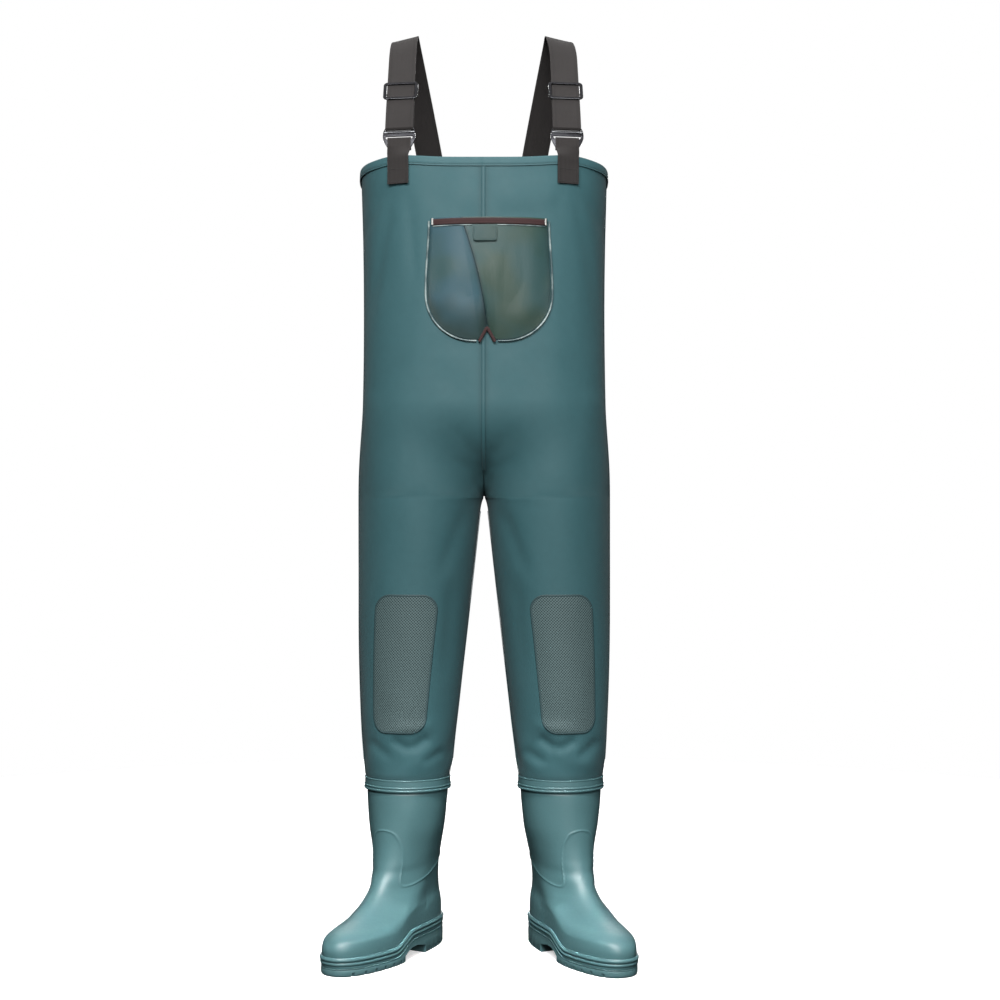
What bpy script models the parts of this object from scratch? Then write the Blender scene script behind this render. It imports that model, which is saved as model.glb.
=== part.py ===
"""Chest waders: coated-fabric bib and legs, rubber boots, chest pocket, webbing braces with buckles.

The body is made of four shaped fabric panels. Every panel runs from a boot cuff to the chest hem.
Left and right are the viewer's, with the front of the waders facing -Y.
Lengths are in metres and +Z is up.
"""
import math

import bmesh
import bpy
from mathutils import Matrix, Vector
from mathutils.geometry import interpolate_bezier

FRONT = -1
BACK = 1
SIDES = {"left": -1, "right": 1}
GAP = 0.0004

# Where the middle of the body stands in the part's frame.
BODY_ORIGIN = (0.0065, 0.0236, 0.0)

# Body panels.
CUFF_Z = 0.268
CROTCH_Z = 0.737
CUFF_TOP_V = 0.0360
INSEAM_TOP_V = 0.955
CROTCH_RISE = 0.155
RIM_Z = 1.2675
RIM_LIFT = 0.0055
RIM_DROP = 0.0085
PANEL_THICKNESS = 0.0012
PANEL_COLUMNS = 10
KNEE_ROWS = 8
CROTCH_ROWS = 6
CHEST_ROWS = 5
SEAM_GAP = 0.004
TORSO_BOXINESS = 0.11
HALF_WIDTH_WAIST = 0.196
HALF_DEPTH_HIP = 0.145
HALF_DEPTH_CHEST = 0.155
LEG_OUTER = 0.205
LEG_TAPER = 0.1125
LEG_DEPTH_CUFF = 0.0684
LEG_DEPTH_TOP = 0.117
CUFF_PINCH = 0.0015

# Seams and hem.
WELT_HALF_WIDTH = 0.0033
WELT_THICKNESS = 0.0008
TAPE_HALF_WIDTH = 0.006
TAPE_THICKNESS = 0.0005
HEM_HEIGHT = 0.0125
HEM_PLY = 0.0012

# Chest pocket, measured from the middle of the body.
POCKET_X = 0.0089
POCKET_TOP_Z = 1.1735
POCKET_HALF_WIDTH = 0.0945
POCKET_MOUTH_SHARE = 0.965
POCKET_FOOT_SHARE = 1.02
POCKET_WIDE_DROP = 0.11
POCKET_HEIGHT = 0.188
POCKET_CORNER = 0.070
POCKET_FULLNESS = 0.017
POCKET_CLEARANCE = 0.0018
POCKET_THICKNESS = 0.001
SEAM_HEAD_X = -0.045
SEAM_BOW = 0.006
NOTCH_X = -0.0030
NOTCH_HALF_WIDTH = 0.013
NOTCH_HEIGHT = 0.023
BINDING_HEIGHT = 0.0115
BINDING_DROP = 0.0018
PIPING_RADIUS = 0.0013
NOTCH_RADIUS = 0.0022
TACK_INSET = 0.0030
TAB_SIZE = (0.037, 0.025, 0.0012)
TAB_X = -0.0062
PAD_THICKNESS = 0.0006

# Knee patches.
PATCH_HALF_WIDTH = 0.0525
PATCH_TOP_Z = 0.584
PATCH_BOTTOM_Z = 0.3595
PATCH_CORNER = 0.028
PATCH_THICKNESS = 0.001
PATCH_TURN = 0.036
PATCH_SLANT = 0.028
PATCH_LIFT = 0.0015

# Boots, measured from the middle of the shaft.
BOOT_X = 0.1254
BOOT_YAW = {"left": math.radians(31.0), "right": math.radians(26.5)}
RING_COUNT = 28
BOOT_WALL = 0.0026
HEEL_NARROWING = 0.84
TOE_BLUNTNESS = 0.82
INSTEP_NARROWING = 0.30
HEEL_LIFT = 0.0185
SHELL_BOTTOM = 0.0126
# Height, reach in front, reach behind and half width of the upper.
BOOT_STATIONS = (
    (0.0126, 0.2185, 0.0795, 0.0525),
    (0.0300, 0.2220, 0.0810, 0.0535),
    (0.0420, 0.2215, 0.0812, 0.0535),
    (0.0520, 0.2150, 0.0808, 0.0530),
    (0.0600, 0.2010, 0.0800, 0.0520),
    (0.0670, 0.1790, 0.0790, 0.0506),
    (0.0740, 0.1560, 0.0780, 0.0490),
    (0.0820, 0.1365, 0.0764, 0.0472),
    (0.0920, 0.1185, 0.0742, 0.0454),
    (0.1050, 0.1010, 0.0718, 0.0438),
    (0.1200, 0.0880, 0.0694, 0.0428),
    (0.1400, 0.0765, 0.0672, 0.0432),
    (0.1700, 0.0700, 0.0664, 0.0500),
    (0.2050, 0.0682, 0.0666, 0.0588),
    (0.2580, 0.0670, 0.0668, 0.0656),
    (0.2640, 0.0645, 0.0645, 0.0645),
    (0.2820, 0.0640, 0.0640, 0.0640),
)
BEAD_OFFSET = 0.0038
RAND_BOTTOM = 0.0128
RAND_TOP = 0.0295
SOLE_TOP = 0.0122
GROOVE_DEPTH = 0.0065
GROOVE_WIDTH = 0.0045
GROOVE_PITCH = 0.0205
FORE_GROOVE = 0.1010
FORE_GROOVES = 6
HEEL_GROOVE = -0.0620
HEEL_GROOVE_PITCH = 0.0190
HEEL_GROOVES = 4
CUTTER_WIDTH = 0.2
CUTTER_DROP = 0.01
# The hollow between the heel block and the forefoot, as (forward, height above the ground).
ARCH_PROFILE = (
    (0.015, 0.0130),
    (0.045, 0.0190),
    (0.066, 0.0190),
    (0.079, 0.0150),
    (0.088, 0.0100),
)

# Braces. A side's own values are the horizontal places of its ring, straight end, top and back end.
STRAP_WIDTH = 0.044
STRAP_THICKNESS = 0.0016
STRAP_TILT = math.radians(32.0)
STRAP_YAW = math.radians(5.0)
STRAP_STRAIGHT = 0.142
STRAP_ROLL = 0.26
STRAP_TOP = (0.005, 1.4885)
STRAP_PLACES = {
    "left": {"ring": -0.1326, "straight": -0.1308, "top": -0.1284, "back": -0.0892},
    "right": {"ring": 0.1316, "straight": 0.1284, "top": 0.1204, "back": 0.0800},
}
STRAP_END_Z = 1.213
RING_BAR = (-0.1245, 1.3200)
RING_TILT = math.radians(14.0)
RING_THICKNESS = 0.003
TAB_WIDTH = 0.037
TAB_THICKNESS = 0.0016
TAB_BOTTOM_Z = 1.2300
SLIDER_AT = 0.072
SLIDER_SIZE = (0.055, 0.036)
SLIDER_WALL = 0.0044
SLIDER_BAR = 0.0025


# ---------------------------------------------------------------- tools


def clear_scene():
    for obj in list(bpy.data.objects):
        bpy.data.objects.remove(obj, do_unlink=True)


def new_collection(name):
    collection = bpy.data.collections.new(name)
    bpy.context.scene.collection.children.link(collection)
    return collection


def linear(channel):
    value = channel / 255
    if value <= 0.04045:
        return value / 12.92
    return ((value + 0.055) / 1.055) ** 2.4


def make_material(name, colour, roughness, metallic=0.0):
    material = bpy.data.materials.new(name)
    material.use_nodes = True
    shader = material.node_tree.nodes["Principled BSDF"]
    shader.inputs["Base Color"].default_value = [linear(c) for c in colour] + [1.0]
    shader.inputs["Roughness"].default_value = roughness
    shader.inputs["Metallic"].default_value = metallic
    return material


def smoothstep(value):
    value = min(max(value, 0.0), 1.0)
    return value * value * (3 - 2 * value)


def lerp(start, end, share):
    return start + (end - start) * share


def finish_object(name, data, material, smooth=True):
    obj = bpy.data.objects.new(name, data)
    parts.objects.link(obj)
    obj.parent = body_origin
    data.materials.append(material)
    if smooth and obj.type == "MESH":
        data.shade_smooth()
        data.set_sharp_from_angle(angle=math.radians(40))
    return obj


def object_from_bmesh(name, bm, material, smooth=True):
    mesh = bpy.data.meshes.new(name)
    bm.to_mesh(mesh)
    bm.free()
    return finish_object(name, mesh, material, smooth)


def add_solidify(obj, thickness, offset):
    shell = obj.modifiers.new("thickness", "SOLIDIFY")
    shell.thickness = thickness
    shell.offset = offset
    shell.use_even_offset = False


def formed_grid(name, place, columns, rows, thickness, offset, material, flip=False):
    """A sheet whose grid point (across, up), both 0 to 1, is put at place(across, up)."""
    bm = bmesh.new()
    bmesh.ops.create_grid(bm, x_segments=columns, y_segments=rows, size=0.5)
    for vertex in bm.verts:
        across = round((vertex.co.x + 0.5) * columns)
        up = round((vertex.co.y + 0.5) * rows)
        vertex.co = place(across / columns, up / rows)
    if flip:
        bmesh.ops.reverse_faces(bm, faces=bm.faces)
    obj = object_from_bmesh(name, bm, material)
    add_solidify(obj, thickness, offset)
    return obj


def add_rings(bm, rings, close_loop=False):
    """Quads between successive rings; each ring runs counterclockwise seen from the last ring."""
    vertices = [[bm.verts.new(point) for point in ring] for ring in rings]
    pairs = list(zip(vertices, vertices[1:]))
    if close_loop:
        pairs.append((vertices[-1], vertices[0]))
    for low, high in pairs:
        for index in range(len(low)):
            after = (index + 1) % len(low)
            bm.faces.new((low[index], low[after], high[after], high[index]))
    return vertices


def add_ladder(bm, ring, facing_up):
    """Closes a ring that is symmetric about its first vertex with straight rungs."""
    count = len(ring)
    faces = [(ring[0], ring[1], ring[count - 1])]
    for index in range(1, count // 2 - 1):
        faces.append((ring[index], ring[index + 1], ring[count - index - 1], ring[count - index]))
    faces.append((ring[count // 2 - 1], ring[count // 2], ring[count // 2 + 1]))
    for face in faces:
        bm.faces.new(face if facing_up else tuple(reversed(face)))


def closed_loft(name, rings, material):
    """A solid through stacked rings, from the lowest to the highest, with flat ends."""
    bm = bmesh.new()
    vertices = add_rings(bm, rings)
    add_ladder(bm, vertices[0], facing_up=False)
    add_ladder(bm, vertices[-1], facing_up=True)
    return object_from_bmesh(name, bm, material)


def band_loft(name, sections, material):
    """A hoop: sections[k] is one ring around, and the rings follow a closed profile."""
    bm = bmesh.new()
    add_rings(bm, sections, close_loop=True)
    return object_from_bmesh(name, bm, material)


def ribbon(name, path, widths, width, thickness, material):
    """Flat webbing along path, with its width along widths[k] at point k."""
    last = len(path) - 1

    def place(across, up):
        index = round(up * last)
        return path[index] + widths[index] * (across - 0.5) * width

    return formed_grid(name, place, 1, last, thickness, 0.0, material)


def mesh_from_curve(obj):
    """Replaces a curve object by a mesh object with welded caps."""
    graph = bpy.context.evaluated_depsgraph_get()
    mesh = bpy.data.meshes.new_from_object(obj.evaluated_get(graph))
    bm = bmesh.new()
    bm.from_mesh(mesh)
    bmesh.ops.remove_doubles(bm, verts=bm.verts, dist=0.00001)
    bm.to_mesh(mesh)
    bm.free()
    name = obj.name
    matrix = obj.matrix_world.copy()
    bpy.data.objects.remove(obj)
    solid = bpy.data.objects.new(name, mesh)
    parts.objects.link(solid)
    solid.matrix_world = matrix
    return solid


def cord(name, points, radius, material):
    """A round bead along a polyline."""
    curve = bpy.data.curves.new(name, "CURVE")
    curve.dimensions = "3D"
    curve.bevel_depth = radius
    curve.bevel_resolution = 1
    curve.use_fill_caps = True
    spline = curve.splines.new("POLY")
    spline.points.add(len(points) - 1)
    for target, point in zip(spline.points, points):
        target.co = (*point, 1.0)
    return finish_object(name, curve, material)


def rounded_outline(width, height, corner, steps=3):
    """Counterclockwise points of a rectangle with round corners."""
    points = []
    for index in range(4):
        start = index * math.pi / 2
        middle_x = (width / 2 - corner) * (1 if index in (0, 3) else -1)
        middle_y = (height / 2 - corner) * (1 if index in (0, 1) else -1)
        for step in range(steps + 1):
            angle = start + step / steps * math.pi / 2
            points.append((middle_x + corner * math.cos(angle), middle_y + corner * math.sin(angle)))
    return points


def flat_plate(name, outlines, thickness, material):
    """A plate in its own XY plane; outlines after the first are its holes."""
    curve = bpy.data.curves.new(name, "CURVE")
    curve.dimensions = "2D"
    curve.fill_mode = "BOTH"
    curve.extrude = thickness / 2
    for outline in outlines:
        spline = curve.splines.new("POLY")
        spline.points.add(len(outline) - 1)
        spline.use_cyclic_u = True
        for target, (x, y) in zip(spline.points, outline):
            target.co = (x, y, 0.0, 1.0)
    return finish_object(name, curve, material)


def block(name, size, material):
    bm = bmesh.new()
    bmesh.ops.create_cube(bm, size=1.0)
    bmesh.ops.scale(bm, vec=size, verts=bm.verts)
    return object_from_bmesh(name, bm, material, smooth=False)


def cut_away(obj, cutter):
    cutter.hide_render = True
    cutter.display_type = "WIRE"
    parts.objects.unlink(cutter)
    cutters.objects.link(cutter)
    boolean = obj.modifiers.new("cut", "BOOLEAN")
    boolean.operation = "DIFFERENCE"
    boolean.object = cutter


def join_solid(obj, other):
    other.hide_render = True
    other.display_type = "WIRE"
    parts.objects.unlink(other)
    cutters.objects.link(other)
    boolean = obj.modifiers.new("join", "BOOLEAN")
    boolean.operation = "UNION"
    boolean.object = other


# ---------------------------------------------------------------- body surface


def rim_height(u):
    """The chest rim is pulled up where the braces meet it and drops a little at the sides."""
    pull = math.exp(-(((u - 0.42) / 0.15) ** 2))
    return RIM_Z + RIM_LIFT * pull - RIM_DROP * smoothstep((u - 0.6) / 0.4)


def torso_half_width(z):
    below = max(1.03 - z, 0.0) / 0.28
    above = max(z - 1.03, 0.0) / 0.23
    return HALF_WIDTH_WAIST + 0.0067 * below**2 + 0.0042 * above**2


def torso_half_depth(z):
    return lerp(HALF_DEPTH_HIP, HALF_DEPTH_CHEST, smoothstep((z - 0.9) / 0.35))


def torso_point(u, z):
    """Right front quarter: u runs from the centre front (0) to the side seam (1)."""
    angle = u * math.pi / 2
    reach = 1 + TORSO_BOXINESS * math.sin(2 * angle) ** 2
    x = torso_half_width(z) * reach * math.sin(angle)
    y = torso_half_depth(z) * reach * math.cos(angle)
    return x, y


def leg_point(u, z):
    """Right leg front half: u runs from the inseam (0) to the side seam (1)."""
    drop = max(CROTCH_Z - z, 0.0)
    inner = 0.0012 + LEG_TAPER * drop + 0.0032 * (1 - math.exp(-drop / 0.008))
    outer = LEG_OUTER - 0.0105 * (max(0.55 - z, 0.0) / 0.2755) ** 2
    pinch = CUFF_PINCH * (1 - smoothstep((z - 0.284) / 0.03))
    middle = (inner + outer) / 2
    half_width = (outer - inner) / 2 - pinch
    share = (z - CUFF_Z) / (CROTCH_Z - CUFF_Z)
    half_depth = lerp(LEG_DEPTH_CUFF, LEG_DEPTH_TOP, share) - pinch
    angle = u * math.pi
    return middle - half_width * math.cos(angle), half_depth * math.sin(angle)


def body_point(side, face, u, v):
    """Outer surface. v runs cuff (0), crotch (1), top of the crotch curve (2), chest rim (3)."""
    if v <= 1:
        z = lerp(CUFF_Z, CROTCH_Z, v)
        x, y = leg_point(u, z)
        return Vector((side * x, face * y, z))
    if v >= 2:
        z = lerp(CROTCH_Z + CROTCH_RISE, rim_height(u), v - 2)
        x, y = torso_point(u, z)
        return Vector((side * x, face * y, z))
    turn = (v - 1) * math.pi / 2
    rise = 1 - math.cos(turn)
    z = CROTCH_Z + CROTCH_RISE * rise
    round_share = (1 - u) ** 4
    share = lerp(smoothstep(rise), math.sin(turn), round_share)
    leg_x, leg_y = leg_point(u, z)
    torso_x, torso_y = torso_point(u, z)
    x = lerp(leg_x, torso_x, share)
    y = lerp(leg_y, torso_y, share)
    return Vector((side * x, face * y, z))


def body_normal(side, face, u, v):
    step = 0.002
    along_u = body_point(side, face, min(u + step, 1), v) - body_point(side, face, max(u - step, 0), v)
    along_v = body_point(side, face, u, min(v + step, 3)) - body_point(side, face, u, max(v - step, 0))
    return (along_u.cross(along_v) * (-side * face)).normalized()


def panel_stations():
    """The surface's v at each row of panel vertices, closer together at the cuff and the crotch."""
    stations = [0.0, CUFF_TOP_V]
    stations += [row / KNEE_ROWS * INSEAM_TOP_V for row in range(1, KNEE_ROWS + 1)]
    stations += [1 + row / CROTCH_ROWS for row in range(CROTCH_ROWS)]
    stations += [2 + row / CHEST_ROWS for row in range(CHEST_ROWS + 1)]
    return stations


PANEL_STATIONS = panel_stations()


def chest_u(x, z):
    """The u of the chest surface at a horizontal place."""
    low, high = 0.0, 1.0
    for _ in range(24):
        middle = (low + high) / 2
        if torso_point(middle, z)[0] < abs(x):
            low = middle
        else:
            high = middle
    return low


def chest_depth(x, z):
    """How far the chest surface lies in front of, or behind, the middle of the body."""
    return torso_point(chest_u(x, z), z)[1]


# ---------------------------------------------------------------- body pieces


def make_panel(side_name, face_name):
    side = SIDES[side_name]
    face = FRONT if face_name == "front" else BACK

    def place(across, up):
        u = lerp(SEAM_GAP, 1 - SEAM_GAP, across)
        return body_point(side, face, u, PANEL_STATIONS[round(up * rows)])

    rows = len(PANEL_STATIONS) - 1
    name = f"{face_name}_{side_name}_panel"
    formed_grid(name, place, PANEL_COLUMNS, rows, PANEL_THICKNESS, -1.0, fabric, flip=side * face > 0)


def station_list(start, end):
    """Stations from start to end that include every panel row between them."""
    return [start] + [v for v in PANEL_STATIONS if start + 0.02 < v < end - 0.02] + [end]


HEM_V = 3 - (HEM_HEIGHT + 0.0012) / (RIM_Z - CROTCH_Z - CROTCH_RISE)
CENTRE_V = 1.45


def make_centre_welt(name, face):
    """Raised weld over the centre front or centre back seam."""
    stations = station_list(CENTRE_V, HEM_V)

    def place(across, up):
        v = stations[round(up * (len(stations) - 1))]
        point = body_point(1, face, 0.0, v)
        edge = body_point(1, face, SEAM_GAP * 3, v)
        lean = (across - 0.5) * 2
        slope = (edge - point).normalized()
        slope.x *= 1 if lean > 0 else -1
        normal = body_normal(1, face, 0.004, v)
        normal.x = 0.0
        reach = abs(lean) * WELT_HALF_WIDTH
        lift = GAP + 0.0018 * max(2 - v, 0.0)
        return Vector((0.0, point.y, point.z)) + slope * reach + normal * lift

    formed_grid(name, place, 2, len(stations) - 1, WELT_THICKNESS, 1.0, weld, flip=face > 0)


def make_leg_seam(name, side, u, start, end, inside):
    """A strip over the joint between a front and a back panel: a weld outside or a tape inside."""
    stations = station_list(start, end)
    half_width = TAPE_HALF_WIDTH if inside else WELT_HALF_WIDTH
    thickness = TAPE_THICKNESS if inside else WELT_THICKNESS
    depth = -PANEL_THICKNESS - GAP if inside else GAP
    outward = side if u > 0.5 else -side

    def place(across, up):
        v = stations[round(up * (len(stations) - 1))]
        point = body_point(side, FRONT, u, v)
        above = body_point(side, FRONT, u, min(v + 0.02, 3)) - body_point(side, FRONT, u, max(v - 0.02, 0))
        normal = Vector((outward, 0.0, 0.0))
        normal = (normal - above * normal.dot(above) / above.length_squared).normalized()
        lean = (across - 0.5) * 2
        wrap = (0.0010 if inside else 0.0001) * lean**2
        return point + Vector((0.0, lean * half_width, 0.0)) + normal * (depth - wrap)

    offset = -1.0 if inside else 1.0
    formed_grid(name, place, 2, len(stations) - 1, thickness, offset, weld, flip=outward < 0)


def make_centre_tape():
    """Sealing tape inside the body: down the front seam, through the crotch and up the back."""
    front = [(FRONT, v) for v in reversed(station_list(1.05, HEM_V))]
    back = [(BACK, v) for v in station_list(1.05, HEM_V)]
    stations = front + back
    last = len(stations) - 1

    def place(across, up):
        face, v = stations[round(up * last)]
        point = body_point(1, face, 0.0, v)
        turn = min(v - 1, 1.0) * math.pi / 2
        inward = Vector((0.0, -face * math.sin(turn), math.cos(turn)))
        depth = PANEL_THICKNESS + GAP * 2 + 0.0035 * math.sin(min(v - 1, 1.0) * math.pi)
        return Vector(((across - 0.5) * 2 * TAPE_HALF_WIDTH, point.y, point.z)) + inward * depth

    formed_grid("center_seam_tape", place, 2, last, TAPE_THICKNESS, 1.0, weld, flip=True)


def around_rim():
    """Every (side, face, u) around the chest, counterclockwise seen from above."""
    steps = [index / PANEL_COLUMNS for index in range(PANEL_COLUMNS)]
    quarters = [(1, FRONT, False), (1, BACK, True), (-1, BACK, False), (-1, FRONT, True)]
    places = []
    for side, face, downward in quarters:
        for step in steps:
            places.append((side, face, 1 - step if downward else step))
    return places


def make_hem():
    """Folded hem: a channel over the top edge of the panels."""
    outside = GAP * 2
    inside = -PANEL_THICKNESS - GAP * 2
    profile = [
        (outside + HEM_PLY, -HEM_HEIGHT),
        (outside + HEM_PLY, HEM_PLY + GAP),
        (inside - HEM_PLY, HEM_PLY + GAP),
        (inside - HEM_PLY, -HEM_HEIGHT),
        (inside, -HEM_HEIGHT),
        (inside, GAP),
        (outside, GAP),
        (outside, -HEM_HEIGHT),
    ]
    rings = []
    for offset, height in profile:
        ring = []
        for side, face, u in around_rim():
            point = body_point(side, face, u, 3)
            normal = body_normal(side, face, min(max(u, 0.002), 0.998), 2.99)
            if u in (0.0, 1.0):
                normal = Vector((0, face, 0)) if u == 0.0 else Vector((side, 0, 0))
            normal = Vector((normal.x, normal.y, 0.0)).normalized()
            ring.append(point + normal * offset + Vector((0, 0, height)))
        rings.append(ring)
    band_loft("chest_hem", rings, hem_fabric)


# ---------------------------------------------------------------- chest pocket


def pocket_bottom(x):
    """How far the pocket reaches down at a place across it, with round corners and the notch."""
    straight = POCKET_HALF_WIDTH - POCKET_CORNER
    beyond = max(abs(x) - straight, 0.0)
    rounding = POCKET_CORNER - math.sqrt(max(POCKET_CORNER**2 - beyond**2, 0.0))
    notch = NOTCH_HEIGHT * max(1 - abs(x - NOTCH_X) / NOTCH_HALF_WIDTH, 0.0)
    return POCKET_HEIGHT - rounding - notch


def pocket_world_x(x, drop):
    """The pocket is a little narrower at its mouth than at its foot."""
    return POCKET_X + x * lerp(POCKET_MOUTH_SHARE, POCKET_FOOT_SHARE, smoothstep(drop / POCKET_WIDE_DROP))


def pocket_surface(x, drop, lift=0.0):
    """A point on the pocket's inner face, x across from its middle and drop below its mouth."""
    z = POCKET_TOP_Z - drop
    reach = min(abs(x) / POCKET_HALF_WIDTH, 1.0)
    low = min(drop / max(pocket_bottom(x), 0.001), 1.0)
    fullness = POCKET_FULLNESS * (1 - reach**2) ** 0.8 * (1 - low**3)
    world_x = pocket_world_x(x, drop)
    return Vector((world_x, -chest_depth(world_x, z) - POCKET_CLEARANCE - fullness - lift, z))


def on_chest(x, drop, clear):
    """A point clear of the chest, x across from the pocket's middle and drop below its mouth."""
    z = POCKET_TOP_Z - drop
    world_x = pocket_world_x(x, drop)
    return (world_x, -chest_depth(world_x, z) - clear, z)


def make_pocket_panel(side_name):
    columns = 7
    rows = 8
    edge = SIDES[side_name] * POCKET_HALF_WIDTH
    seam_gap = SIDES[side_name] * 0.0005

    def place(across, up):
        from_seam = 1 - across if side_name == "left" else across
        toward = math.sin(from_seam * math.pi / 2)
        foot = lerp(NOTCH_X + seam_gap, edge, toward)
        head = lerp(SEAM_HEAD_X + seam_gap, edge, toward)
        share = 1 - up
        bow = SEAM_BOW * math.sin(share * math.pi) * (1 - toward)
        return pocket_surface(lerp(head, foot, share) + bow, share * pocket_bottom(foot))

    formed_grid(f"pocket_{side_name}_panel", place, columns, rows, POCKET_THICKNESS, 1.0, pocket_fabric)


def make_pocket_binding():
    """The reinforced edge of the pocket mouth."""

    def place(across, up):
        x = lerp(-POCKET_HALF_WIDTH + 0.0015, POCKET_HALF_WIDTH - 0.0015, across)
        drop = lerp(BINDING_HEIGHT, BINDING_DROP, up)
        return pocket_surface(x, drop, POCKET_THICKNESS + GAP * 1.5)

    formed_grid("pocket_mouth_binding", place, 14, 2, 0.0012, 1.0, binding)


def make_pocket_piping(side_name):
    side = SIDES[side_name]
    margin = PIPING_RADIUS + GAP * 3
    clear = POCKET_CLEARANCE + PIPING_RADIUS
    outline = []
    corner = POCKET_HALF_WIDTH - POCKET_CORNER
    for drop in (0.004, 0.045, 0.09):
        outline.append((side * (POCKET_HALF_WIDTH + margin), drop))
    for step in range(8):
        angle = step / 7 * math.pi / 2
        radius = POCKET_CORNER + margin
        x = side * (corner + radius * math.cos(angle))
        outline.append((x, POCKET_HEIGHT - POCKET_CORNER + radius * math.sin(angle)))
    outline.append((NOTCH_X + side * (NOTCH_HALF_WIDTH + 0.0035), POCKET_HEIGHT + margin))
    points = [on_chest(x, drop, clear) for x, drop in outline]
    cord(f"pocket_{side_name}_piping", points, PIPING_RADIUS, piping)


def make_notch_binding():
    margin = NOTCH_RADIUS + GAP * 4
    points = []
    for lean in (-1, 0, 1):
        x = NOTCH_X + lean * NOTCH_HALF_WIDTH * 0.93
        drop = POCKET_HEIGHT + margin - (NOTCH_HEIGHT if lean == 0 else 0.0)
        points.append(on_chest(x, drop, POCKET_CLEARANCE + NOTCH_RADIUS))
    cord("pocket_notch_binding", points, NOTCH_RADIUS, binding)


def make_bar_tack(side_name):
    side = SIDES[side_name]
    x = side * (POCKET_HALF_WIDTH - TACK_INSET)
    lift = POCKET_THICKNESS + GAP * 1.5 + 0.0012 + GAP + 0.0005
    point = pocket_surface(x, (BINDING_HEIGHT + BINDING_DROP) / 2, lift)
    size = (0.0025, 0.0008, BINDING_HEIGHT - BINDING_DROP)
    tack = block(f"pocket_{side_name}_bar_tack", size, thread)
    tack.location = point
    tack.rotation_euler.z = math.atan2(
        pocket_surface(x, 0.005).y - pocket_surface(x - 0.002, 0.005).y, 0.002
    )


def make_pocket_tab():
    """Closing tab. Its top edge is its hinge; hook pad behind it, loop pad on the pocket."""
    width, height, thickness = TAB_SIZE
    drop = BINDING_HEIGHT + 0.0012
    face = pocket_surface(TAB_X, drop, POCKET_THICKNESS)
    lower = pocket_surface(TAB_X, drop + height, POCKET_THICKNESS)
    hinge = Vector((face.x, face.y - 0.0034, face.z))
    turn = math.pi / 2 - math.atan2(face.y - lower.y, height)
    hook_depth = thickness / 2 + GAP + PAD_THICKNESS / 2
    loop_depth = hook_depth + GAP + PAD_THICKNESS
    tab_outline = rounded_outline(width, height, 0.004)
    pad_outline = rounded_outline(width * 0.8, height * 0.6, 0.002)
    plates = (
        ("pocket_tab", tab_outline, thickness, pocket_fabric, (0, -height / 2, 0)),
        ("pocket_tab_hook_pad", pad_outline, PAD_THICKNESS, hook_loop, (0, -height * 0.6, -hook_depth)),
        ("pocket_loop_pad", pad_outline, PAD_THICKNESS, hook_loop, (0, -height * 0.6, -loop_depth)),
    )
    for name, outline, plate_thickness, material, shift in plates:
        plate = flat_plate(name, [outline], plate_thickness, material)
        plate.data.transform(Matrix.Translation(shift))
        plate.location = hinge
        plate.rotation_euler.x = turn


# ---------------------------------------------------------------- knee patches


def make_knee_patch(side_name):
    side = SIDES[side_name]
    columns = 6
    rows = 10

    def place(across, up):
        end_share = (1 - math.cos(up * math.pi)) / 2
        z = lerp(PATCH_BOTTOM_Z, PATCH_TOP_Z, lerp(up, end_share, 0.8))
        from_end = min(z - PATCH_BOTTOM_Z, PATCH_TOP_Z - z)
        inset = max(PATCH_CORNER - from_end, 0.0)
        narrowing = PATCH_CORNER - math.sqrt(max(PATCH_CORNER**2 - inset**2, 0.0))
        half_width = PATCH_HALF_WIDTH - narrowing
        v = (z - CUFF_Z) / (CROTCH_Z - CUFF_Z)
        arc = math.pi * leg_point(0.5, z)[1]
        slant = PATCH_SLANT * (PATCH_TOP_Z - z) / (PATCH_TOP_Z - PATCH_BOTTOM_Z)
        u = 0.5 + PATCH_TURN + slant + (across - 0.5) * 2 * half_width / arc
        return body_point(side, FRONT, u, v) + body_normal(side, FRONT, u, v) * PATCH_LIFT

    name = f"{side_name}_knee_patch"
    formed_grid(name, place, columns, rows, PATCH_THICKNESS, 1.0, knee_mesh, flip=side < 0)


# ---------------------------------------------------------------- boots


def boot_station(z):
    """Reach in front, reach behind and half width at a height."""
    stations = BOOT_STATIONS
    if z <= stations[0][0]:
        return stations[0][1:]
    for low, high in zip(stations, stations[1:]):
        if z <= high[0]:
            share = (z - low[0]) / (high[0] - low[0])
            return tuple(lerp(a, b, share) for a, b in zip(low[1:], high[1:]))
    return stations[-1][1:]


def heel_rise(forward):
    return HEEL_LIFT * (1 - smoothstep((forward - 0.055) / 0.065))


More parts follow.
